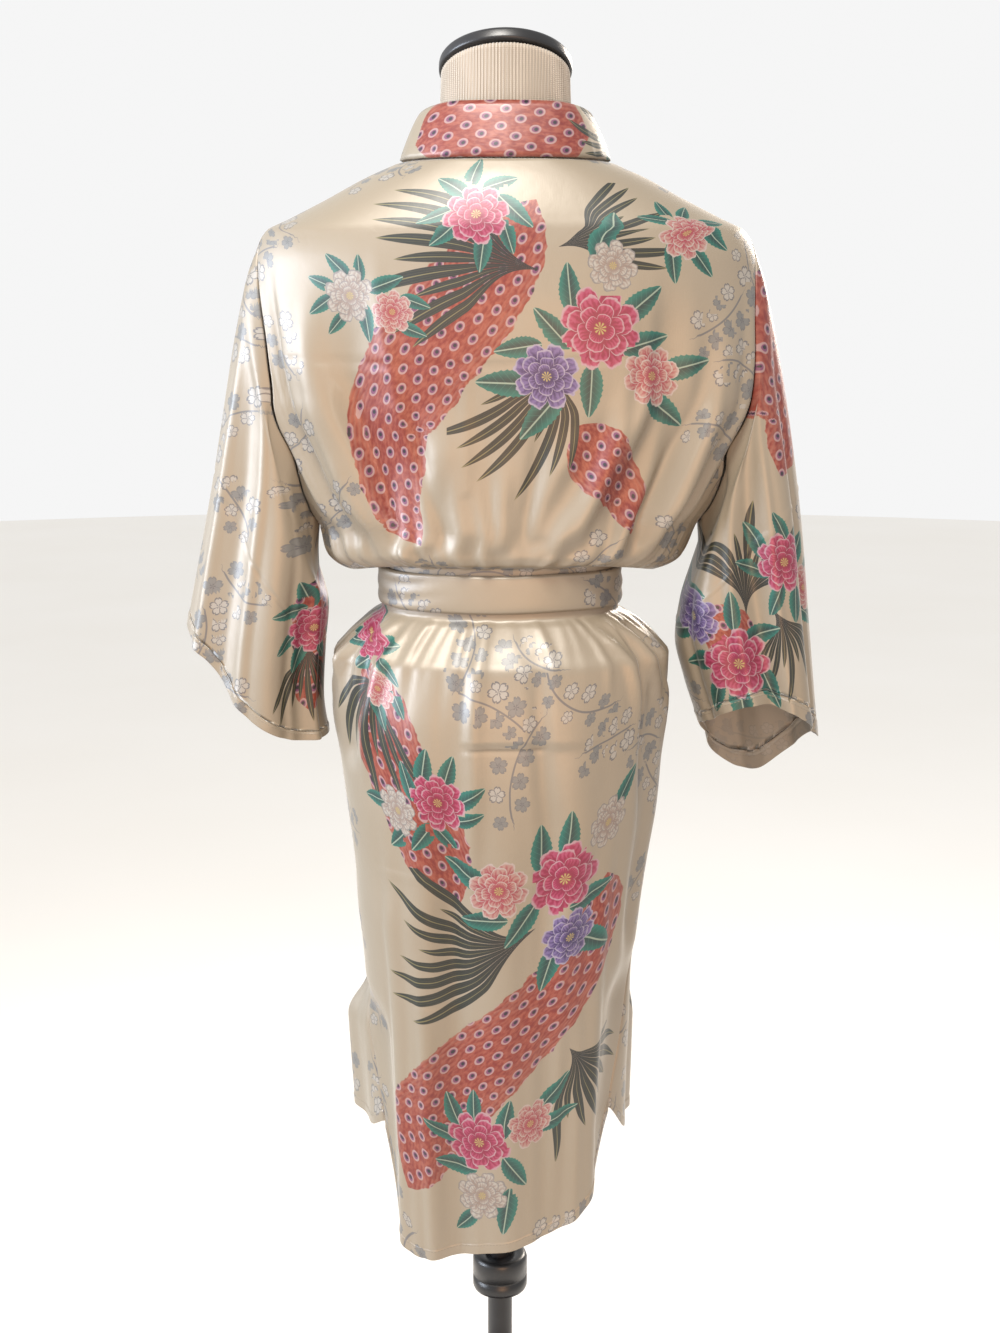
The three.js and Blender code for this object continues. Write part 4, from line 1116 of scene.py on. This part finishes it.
def own_place(tree):
    """x, y and z on the piece itself, in metres."""
    parts = put(tree, "SeparateXYZ", [put(tree, "TexCoord").outputs["Object"]])
    return [Amount(parts.outputs[i]) for i in range(3)]


def read(tree, name):
    """The three numbers that the cloth carries under a name."""
    carried = put(tree, "Attribute", attribute_name=name)
    parts = put(tree, "SeparateXYZ", [carried.outputs["Vector"]])
    return [Amount(parts.outputs[i]) for i in range(3)]


def grain(tree, x, y, z, scale, detail=2.0):
    """Noise from 0 to 1 at a place."""
    place = put(tree, "CombineXYZ", [x, y, z])
    node = put(tree, "TexNoise", {"Vector": place.outputs[0], "Scale": scale, "Detail": detail})
    return Amount(node.outputs["Fac"])


def by_kind(tree, kind, colours):
    """Picks one of a few colours by the motif's number."""
    node = put(tree, "ValToRGB", [kind * 0.25])
    node.color_ramp.interpolation = "CONSTANT"
    while len(node.color_ramp.elements) < len(colours):
        node.color_ramp.elements.new(0.5)
    for k, colour in enumerate(colours):
        node.color_ramp.elements[k].position = k * 0.25
        node.color_ramp.elements[k].color = ink(colour)
    return node.outputs[0]


SPOT_PITCH = 0.0155  # the spots of the real cloth are 13 to 17 mm apart


def draw_ribbons(tree, cloth):
    """Coral ground with staggered ring-and-dot spots, and the grey twigs."""
    along, across, half = read(tree, "ribbons")
    ragged = grain(tree, along, across, half, 70.0)
    on_ribbon = half.step(0.0, 0.0005)
    edge = half * (0.86 + ragged * 0.3)
    beside_middle = across.size() / edge.most(0.0002)
    cover = beside_middle.step(1.0, 0.97) * on_ribbon
    mottled = grain(tree, along, across * 2.2, half, 160.0, 4.0)
    coral = over("#ad3f38", "#de8573", mottled.step(0.3, 0.7))
    hatch = ((across * 1500.0 + mottled * 5.0).sine() * 0.5 + 0.5) * 0.35
    coral = over(coral, "#f0b9a6", hatch * beside_middle.step(0.3, 1.0))
    place = along / SPOT_PITCH
    row = place.whole()
    beside = across / SPOT_PITCH + (row * 0.5).part()
    a, b = place.part() - 0.5, beside.part() - 0.5
    away = (a * a * 0.7 + b * b * 1.3) ** 0.5
    coral = over(coral, "#efc6c4", away.step(0.31, 0.27))
    coral = over(coral, "#a8678f", away.step(0.2, 0.17))
    coral = over(coral, "#2a1a2b", ((a + 0.04) * (a + 0.04) + b * b * 1.4).step(0.016, 0.011))
    cloth = over(cloth, coral, cover)
    twig = across.size().step(0.0011, 0.0006) * (half * -1.0).step(0.0, 0.0005)
    return over(cloth, "#8b8b8f", twig * 0.85)


def draw_blossoms(tree, cloth):
    """Grey cherry blossoms: flat grey ones, and outlined ones."""
    x, y, kind = read(tree, BLOSSOMS)
    r = (x * x + y * y) ** 0.5
    angle = y.turn_from(x)
    petal = (angle * 2.5).sine().size()
    edge = 0.5 + petal**0.5 * 0.46 - petal.step(0.975, 1.0) * 0.13
    inside = r / edge
    cover = inside.step(1.0, 0.95)
    line = inside.step(0.76, 0.86).most(petal.step(0.3, 0.16) * inside.step(0.25, 0.4)) * cover
    outlined = kind.step(0.9, 1.1)
    fill = over("#a3a6a7", "#f4eee4", outlined)
    cloth = over(cloth, fill, cover * (0.84 + outlined * 0.06))
    cloth = over(cloth, "#77757a", line * (0.35 + outlined * 0.5))
    stamens = r.step(0.3, 0.2) * (angle * 5.0).sine().step(0.0, 0.4)
    return over(cloth, "#77747c", stamens * 0.75)


def draw_sprays(tree, cloth):
    """Fans of long black-green blades with fine gold lines."""
    x, y, kind = read(tree, SPRAYS)
    out_x, out_y = (x + 1.0) * 0.5, y * 0.5
    far = (out_x * out_x + out_y * out_y) ** 0.5
    bend = (far - 0.35) * ((kind * 2.4).sine() * 0.55)
    angle = out_y.turn_from(out_x) + bend
    spread = 0.25 + far.step(0.0, 0.42) * 0.75
    blade = angle / (spread * 0.15) + 0.5
    number = blade.whole()
    local = (blade.part() - 0.5) * 2.0
    chance = ((number * 12.98 + kind * 5.1).sine() * 437.5).part()
    reach = 0.55 + chance * 0.42
    along = far / reach
    width = (1.0 - along**4.0).most(0.0) * 0.97
    in_fan = number.size().step(4.6, 4.4)
    cover = (local.size() - width).step(0.0, -0.06) * in_fan
    cover = cover * along.step(1.0, 0.99) * x.step(-1.0, -0.98)
    lines = (local * 11.0).sine().size().step(0.2, 0.05) * 0.6
    green = over("#090d0a", "#1a251c", along.step(0.1, 0.8))
    green = over(green, "#8f8a58", lines * along.step(0.15, 0.5))
    green = over(green, "#c9bf8d", local.size().step(0.09, 0.02) * along.step(0.15, 0.5) * 0.7)
    return over(cloth, green, cover)


def draw_leaves(tree, cloth):
    """Pointed teal leaves with a pale midrib and side veins."""
    x, y, _ = read(tree, LEAVES)
    taper = (1.0 - x * x).most(0.0) ** 0.72 * (0.46 - x * 0.13)
    edge = taper * (1.0 - ((x * 17.0 + y.size() * 9.0).sine().size()) * 0.1)
    beside = y.size() / edge.most(0.001)
    cover = beside.step(1.0, 0.93) * x.size().step(1.0, 0.98)
    half_tone = beside.step(0.1, 1.0) * 0.75 + y.step(-0.02, 0.02) * 0.2
    tone = over("#0f4744", "#3a9b8b", half_tone)
    veins = (x * 13.0 - y.size() * 11.0).sine().size().step(0.14, 0.04)
    tone = over(tone, "#7cc0ae", veins * 0.5)
    tone = over(tone, "#cfe3cf", y.size().step(0.035, 0.018))
    return over(cloth, tone, cover)


PETAL_RINGS = [
    (1.0, 8, 0.3, 0.0),
    (0.8, 7, 0.3, 0.7),
    (0.58, 6, 0.32, 0.3),
    (0.36, 4, 0.34, 1.0),
]


def draw_peonies(tree, cloth):
    """Full peonies: rings of ruffled petals, deep at the root, pale at the rim."""
    x, y, kind = read(tree, FLOWERS)
    r = (x * x + y * y) ** 0.5
    angle = y.turn_from(x)
    deep = by_kind(tree, kind, ["#bd1f55", "#54407f", "#d9747f", "#c9b3a6"])
    light = by_kind(tree, kind, ["#ee7f9f", "#a894cf", "#f6c9bf", "#f6efe4"])
    rim = by_kind(tree, kind, ["#fbd7df", "#e6dcf2", "#fff1ea", "#a9a3a0"])
    ruffle = grain(tree, x, y, kind * 3.0, 5.5, 3.0) - 0.5
    streaks = (angle * 31.0 + ruffle * 14.0).sine() * 0.12
    for reach, count, depth, turn in PETAL_RINGS:
        petal = (angle * (count / 2) + turn).sine().size()
        gap = (1.0 - petal) ** 2.0
        edge = reach * (1.0 - gap * depth) + ruffle * 0.22 * reach
        inside = r / edge
        cover = inside.step(1.0, 0.975)
        tone = over(deep, light, (inside + streaks - gap * 0.35).step(0.55, 0.98))
        tone = over(tone, rim, inside.step(0.9, 0.96) * 0.9)
        cloth = over(cloth, tone, cover)
    heart = r.step(0.17, 0.12) * (angle * 9.0).sine().step(-0.4, 0.2)
    return over(cloth, "#f2dd9a", heart)


STITCH = {"above": 0.0088, "pitch": 0.0032, "half": 0.0005}


def make_printed_satin():
    """Polyester charmeuse satin, screen printed: long floats on the face give
    broad soft highlights; the reverse is duller and shows the print faintly,
    and is painted paler still, which is painted light lifting its shaded insides."""
    tree = new_finish("printed_satin")
    u, v, _ = read(tree, "flat_cut")
    cloud = grain(tree, u, v, 0.0, 6.0)
    cloth = over("#dfceb4", "#e7dac5", cloud)
    for draw in (draw_ribbons, draw_blossoms, draw_sprays, draw_leaves, draw_peonies):
        cloth = draw(tree, cloth)
    # Stitches of the narrow hem are 3 mm apart, drawn 1 mm wide.
    above, along, _ = read(tree, "hem_line")
    stitch = (above - STITCH["above"]).size().step(STITCH["half"], 0.0002)
    stitch = stitch * ((along / STITCH["pitch"]).part() - 0.5).size().step(0.36, 0.3)
    cloth = over(cloth, "#cfc3b0", stitch * 0.8)
    inner = Amount(put(tree, "Attribute", attribute_name="inner_side").outputs["Fac"])
    # The reverse is drawn paler than the face. Partly this is the print showing only faintly there, and
    # partly it is painted light that lifts the shaded insides of the robe.
    cloth = over(cloth, "#f3e9da", inner * 0.7)
    # Champagne satin seen beside a white studio: nearly three quarters of the
    # light goes, and the colour is a little deeper.
    cloth = put(tree, "HueSaturation", {"Saturation": 1.16, "Value": 0.265, "Color": cloth}).outputs[0]
    # The warp floats are a tenth of a millimetre wide, drawn coarser, as a
    # fine streaky relief along the cloth's length.
    floats = grain(tree, u * 1800.0, v * 90.0, 0.0, 1.0)
    crush = grain(tree, u * 1.0, v * 0.7, 3.0, 34.0, 3.0)
    relief = bump(tree, 0.5, 0.0012, crush, bump(tree, 0.35, 0.0002, floats))
    shade(tree, {
        "Base Color": cloth,
        "Roughness": 0.41 + cloud * 0.06 + inner * 0.2 + stitch * 0.2,
        "Metallic": 0.1,
        "IOR": 1.56,
        "Specular IOR Level": 0.7,
        "Anisotropic": 0.55,
        "Sheen Weight": 0.16,
        "Sheen Roughness": 0.3,
        "Normal": relief,
    })


def make_form_jersey():
    """Ribbed cotton jersey over foam: dull, slightly fuzzy, with small loops."""
    tree = new_finish("form_jersey")
    x, y, z = own_place(tree)
    turn = y.turn_from(x)
    # Knit loops are about 1 mm high; they are drawn 1.6 mm high.
    loops = (z * 3900.0 + (turn * RIB_COUNT).sine() * 1.2).sine()
    soil = grain(tree, x, y, z, 9.0)
    fuzz = grain(tree, x, y, z, 900.0)
    # Painted shade: the grooves between the jersey's ribs are darkened, as if shaded.
    groove_shade = (turn * RIB_COUNT).sine().step(-0.2, -0.95)
    colour = over("#9e9488", "#8f8578", soil)
    colour = over(colour, "#6a6155", groove_shade * 0.6)
    colour = over(colour, "#82776a", loops.step(0.3, 1.0) * 0.3)
    shade(tree, {
        "Base Color": colour,
        "Roughness": 0.82 + fuzz * 0.12,
        "Sheen Weight": 0.3,
        "Sheen Roughness": 0.6,
        "Normal": bump(tree, 0.5, 0.0004, loops * 0.5 + fuzz),
    })


def make_dark_finish(name, base, worn, rough, spread, grain_size, depth):
    """A black finish with a fine texture and slightly worn places."""
    tree = new_finish(name)
    x, y, z = own_place(tree)
    skin = grain(tree, x, y, z, grain_size)
    wear = grain(tree, x, y, z, 14.0, 5.0)
    shade(tree, {
        "Base Color": over(base, worn, wear.step(0.45, 0.8) * 0.6),
        "Roughness": rough + wear * spread,
        "IOR": 1.5,
        "Normal": bump(tree, 0.4, depth, skin),
    })


def make_floor_paint():
    """Matt white studio floor, very slightly uneven."""
    tree = new_finish("studio_floor")
    place = put(tree, "TexCoord").outputs["Object"]
    cloud = Amount(put(tree, "TexNoise", {"Vector": place, "Scale": 1.5}).outputs["Fac"])
    shade(tree, {"Base Color": over("#f2eee7", "#f6f3ee", cloud), "Roughness": 0.9})


# The robe's pieces: width and length of the flat cut in metres, the share of it
# that the curved edges leave, how it is held, and what it rests on
CUTS = {
    "back": (0.56, 1.09, 0.94, "hung", ["form_body"]),
    "front": (0.33, 1.0, 0.9, "hung", ["form_body"]),
    "sleeve": (0.48, 0.37, 0.78, "hung", ["robe_back"]),
    "band": (0.05, 2.3, 1.0, "folded", ["form_body"]),
    "waist": (0.036, 0.65, 1.0, "folded", ["robe_back"]),
    "knot": (0.055, 0.11, 1.0, "folded", ["belt_waist_cloth"]),
}
LEVEL_ROW = int(np.argmin(np.abs(PANEL_HEIGHTS - 1200)))  # here the grain runs level


def make_robe():
    points, above = back_piece()
    flat = flat_places(points, points.shape[1] // 2, LEVEL_ROW)
    print_of = printed(11, BACK_MOTIFS, 74, 0.034)
    satin_piece("robe_back", "back", points, print_of, CUTS["back"], flat=flat, above=above)
    for side, name, seed in ((1, "left", 17), (-1, "right", 23)):
        points, above = front_piece(side)
        flat = flat_places(points, points.shape[1] // 2, LEVEL_ROW)
        print_of = printed(seed, FRONT_MOTIFS, 46, 0.034, side)
        satin_piece("robe_front_" + name, "front_" + name, points, print_of, CUTS["front"],
                    flat=flat, above=above)
    sleeves = (
        (1, "left", LEFT_SLEEVE_ROWS, LEFT_SLEEVE_FOLDS, [(0.62, -1.1)], 41, LEFT_SLEEVE_MOTIFS),
        (-1, "right", RIGHT_SLEEVE_ROWS, RIGHT_SLEEVE_FOLDS, [(0.58, 0.8)], 43, RIGHT_SLEEVE_MOTIFS),
    )
    for side, name, rows, folds, creases, seed, motifs in sleeves:
        points, above = sleeve_piece(side, rows, folds, creases)
        print_of = printed(seed, motifs, 52, 0.03, side)
        satin_piece("robe_sleeve_" + name, "sleeve_" + name, points, print_of, CUTS["sleeve"], loop=True,
                    inside=points.mean(1, keepdims=True), flat=tube_places(points), above=above)


def make_band_and_belt():
    points, thick = band_piece()
    flat = flat_places(points, 0, 0) * [1, -1]
    satin_piece("neck_band_cloth", "neck_band", points, band_print, CUTS["band"], thick, flat=flat)
    points, thick = belt_waist_piece()
    print_of = printed(51, [], 9, 0.03)
    satin_piece("belt_waist_cloth", "belt_waist", points, print_of, CUTS["waist"], thick, True)
    points = belt_knot_piece()
    inside = points.mean(axis=(0, 1), keepdims=True)
    print_of = printed(52, [], 2, 0.03)
    satin_piece("belt_knot_cloth", "belt_knot", points, print_of, CUTS["knot"], loop=True, inside=inside)
    for tail in TAILS:
        points, thick = belt_tail_piece(tail)
        cut = (BELT_WIDTH / 1000, tail["length"] / 1000, 1.0, "hung", ["belt_knot_cloth"])
        satin_piece(tail["name"] + "_cloth", tail["name"], points, printed(53, [], 4, 0.03), cut, thick)


# The dress form and its stand
def form_ring(z, spare, turn):
    """A section of the dress form, made larger by spare."""
    c, s = np.cos(turn), np.sin(turn)
    depth = np.where(s > 0, FORM["back"](z), FORM["front"](z)) + spare
    y = depth * s
    shift = NECK_SHIFT * ease((z - 1000) / 350)
    x = shift + (FORM["half"](z) + spare) * c
    return np.stack(np.broadcast_arrays(x, y, z + FORM["tilt"](z) * y), -1)


def ringed_body(name, node, slot, rings):
    """A closed body through rings, with its two ends filled."""
    rows, columns = rings.shape[:2]
    grid, after = grid_of(rows, columns)
    faces = np.stack([grid[:-1], after[:-1], after[1:], grid[1:]], -1).reshape(-1, 4).tolist()
    faces += [(b, a, rows * columns) for a, b in zip(grid[0].tolist(), after[0].tolist())]
    faces += [(a, b, rows * columns + 1) for a, b in zip(grid[-1].tolist(), after[-1].tolist())]
    points = np.concatenate([rings.reshape(-1, 3), [rings[0].mean(0), rings[-1].mean(0)]])
    in_frame(new_object(name, points, faces), node, slot)


def make_form():
    turn = np.linspace(0, 2 * math.pi, RIB_COUNT * 6, endpoint=False)[None]
    foot_rows = FORM_FOOT + np.array([0, 3, 7, 12])
    z = np.concatenate([foot_rows, np.arange(758, 1400, 15), np.arange(1402, 1488, 3.2)])[:, None]
    ribs = 0.38 * np.cos(turn * RIB_COUNT) - 0.3
    rings = form_ring(z, ribs, turn)
    low = rings[:1].mean(1, keepdims=True)
    inner = [mix(low, rings[:1], share) for share in (0.2, 0.6, 0.94)]
    ringed_body("form_torso", "form_body", "form_jersey", np.concatenate([*inner, rings]))


def make_cap():
    away = unit(np.array([0, -float(FORM["tilt"](NECK_TOP)), 1.0]))
    turn = np.linspace(0, 2 * math.pi, 144, endpoint=False)
    rim = form_ring(float(NECK_TOP) + 0 * turn, CAP["lip"], turn)
    middle = rim.mean(0)
    height, rise = CAP["height"], CAP["rise"]
    steps = [
        (0.9, 0.4), (0.965, 0.4), (0.985, 0.8), (0.996, 1.7), (1, 3), (1, height - 5),
        (0.995, height - 3.4), (0.982, height - 2.2), (0.96, height - 1.3), (0.9, height - 0.3),
        (0.8, height + 0.16 * rise), (0.6, height + 0.6 * rise), (0.4, height + 0.84 * rise),
        (0.2, height + 0.98 * rise), (0.05, height + rise),
    ]
    rings = np.array([middle + (rim - middle) * size + away * lift for size, lift in steps])
    ringed_body("neck_cap", "form_cap", "black_plastic", rings)


def turned_rings(outline, sides):
    """Rings of a turned part, from its outline of (radius, height)."""
    turn = np.linspace(0, 2 * math.pi, sides, endpoint=False)
    ring = np.stack([np.cos(turn), np.sin(turn)], -1)
    return np.array([np.concatenate([ring * radius, 0 * ring[:, :1] + z], -1) for radius, z in outline])


def make_stand():
    r, foot, top = POLE_RADIUS, BASE_THICK + SEAM_GAP, FORM_FOOT - SEAM_GAP
    outline = [(r - 0.8, foot), (r, foot + 0.8), (r, top - 0.8), (r - 0.8, top)]
    ringed_body("stand_pole", "pole", "black_steel", turned_rings(outline, 64))
    r, top = BASE_RADIUS, BASE_THICK
    outline = [
        (r - 1.2, 0), (r - 0.3, 0.4), (r, 1.4), (r, 5), (r - 0.5, 6.6), (r - 1.6, 7.6),
        (r - 3.2, top), (60, top), (20, top),
    ]
    ringed_body("stand_base", "base_plate", "black_steel", turned_rings(outline, 128))
    r, low, high = COLLAR["radius"], COLLAR["foot"], COLLAR["top"]
    bore = POLE_RADIUS + SEAM_GAP
    outline = [
        (bore, low), (r - 4, low), (r - 1.2, low + 1.2), (r, low + 4), (r, low + 13),
        (r - 1.2, low + 14), (r - 1.2, low + 16), (r, low + 17), (r, high - 5),
        (r - 1.2, high - 1.6), (r - 4, high), (bore, high), (bore, low + 1),
    ]
    rings = turned_rings(outline, 96)
    grid, after = grid_of(*rings.shape[:2])
    quads = np.stack([grid, after, np.roll(after, -1, 0), np.roll(grid, -1, 0)], -1).reshape(-1, 4)
    in_frame(new_object("stand_collar", rings.reshape(-1, 3), quads.tolist()), "pole_collar", "black_plastic")


# The studio
WORLD_STRENGTH = 0.92
# Lamps: name, place, size, height aimed at, spread in degrees, watts, colour
LAMPS = [
    ("window", (3.1, 0.75, 1.5), 1.9, 1.15, 66, 27, "#e6f0ff"),
    ("room", (-0.5, 2.9, 0.9), 1.6, 0.75, 66, 6, "#ffbf88"),
    ("front", (-1.9, -2.6, 2.0), 1.2, 1.0, 62, 18, "#fff2e4"),
    ("top", (0.3, 1.3, 2.9), 0.8, 1.0, 80, 15, "#fffaf2"),
]


def make_floor():
    rings = turned_rings([(400, -0.3), (2000, -0.3), (9000, -0.3)], 96)
    grid, after = grid_of(*rings.shape[:2])
    quads = np.stack([grid[:-1], grid[1:], after[1:], after[:-1]], -1).reshape(-1, 4).tolist()
    floor = new_object("studio_floor", rings.reshape(-1, 3), quads + [grid[0].tolist()])
    floor.data.materials.append(FINISHES["studio_floor"])


def make_light():
    world = bpy.data.worlds.new("studio")
    bpy.context.scene.world = world
    world.use_nodes = True
    sky = world.node_tree.nodes["Background"]
    sky.inputs[0].default_value = ink("#ffffff")
    sky.inputs[1].default_value = WORLD_STRENGTH
    for name, place, size, aim_z, spread, watts, colour in LAMPS:
        lamp = bpy.data.lights.new(name, "AREA")
        lamp.shape = "DISK"
        lamp.size = size
        lamp.spread = math.radians(spread)
        lamp.energy = watts
        lamp.color = ink(colour)[:3]
        made = bpy.data.objects.new(name, lamp)
        made.location = place
        x, y, z = np.array([0, 0, aim_z]) - np.array(place)
        made.rotation_euler = (math.atan2(math.hypot(x, y), -z), 0, math.atan2(y, x) - math.pi / 2)
        bpy.context.scene.collection.objects.link(made)


# Focal length and height in the photograph's pixels, the camera's place in
# metres, and how far down it looks
PHOTO = {"focal": 1750, "height": 1333, "place": (0, 1.65, 1.293), "tip": 12}


def make_camera():
    """The photograph's camera, behind the robe."""
    lens = bpy.data.cameras.new("camera")
    lens.sensor_width = 36
    lens.lens = 36 * PHOTO["focal"] / PHOTO["height"]
    camera = bpy.data.objects.new("camera", lens)
    camera.location = PHOTO["place"]
    camera.rotation_euler = (math.radians(90 - PHOTO["tip"]), 0, math.radians(180))
    bpy.context.scene.collection.objects.link(camera)
    bpy.context.scene.camera = camera


make_printed_satin()
make_form_jersey()
# Moulded ABS: fine spark-eroded skin, half gloss.
make_dark_finish("black_plastic", "#131315", "#2b2b2e", 0.26, 0.2, 1400.0, 0.00004)
# Powder coat on steel: orange-peel surface, half matt.
make_dark_finish("black_steel", "#151517", "#2a2a2c", 0.42, 0.15, 700.0, 0.00012)
make_robe()
make_band_and_belt()
make_form()
make_cap()
make_stand()
make_floor_paint()
make_floor()
make_light()
make_camera()
bpy.context.scene.view_settings.view_transform = "Standard"
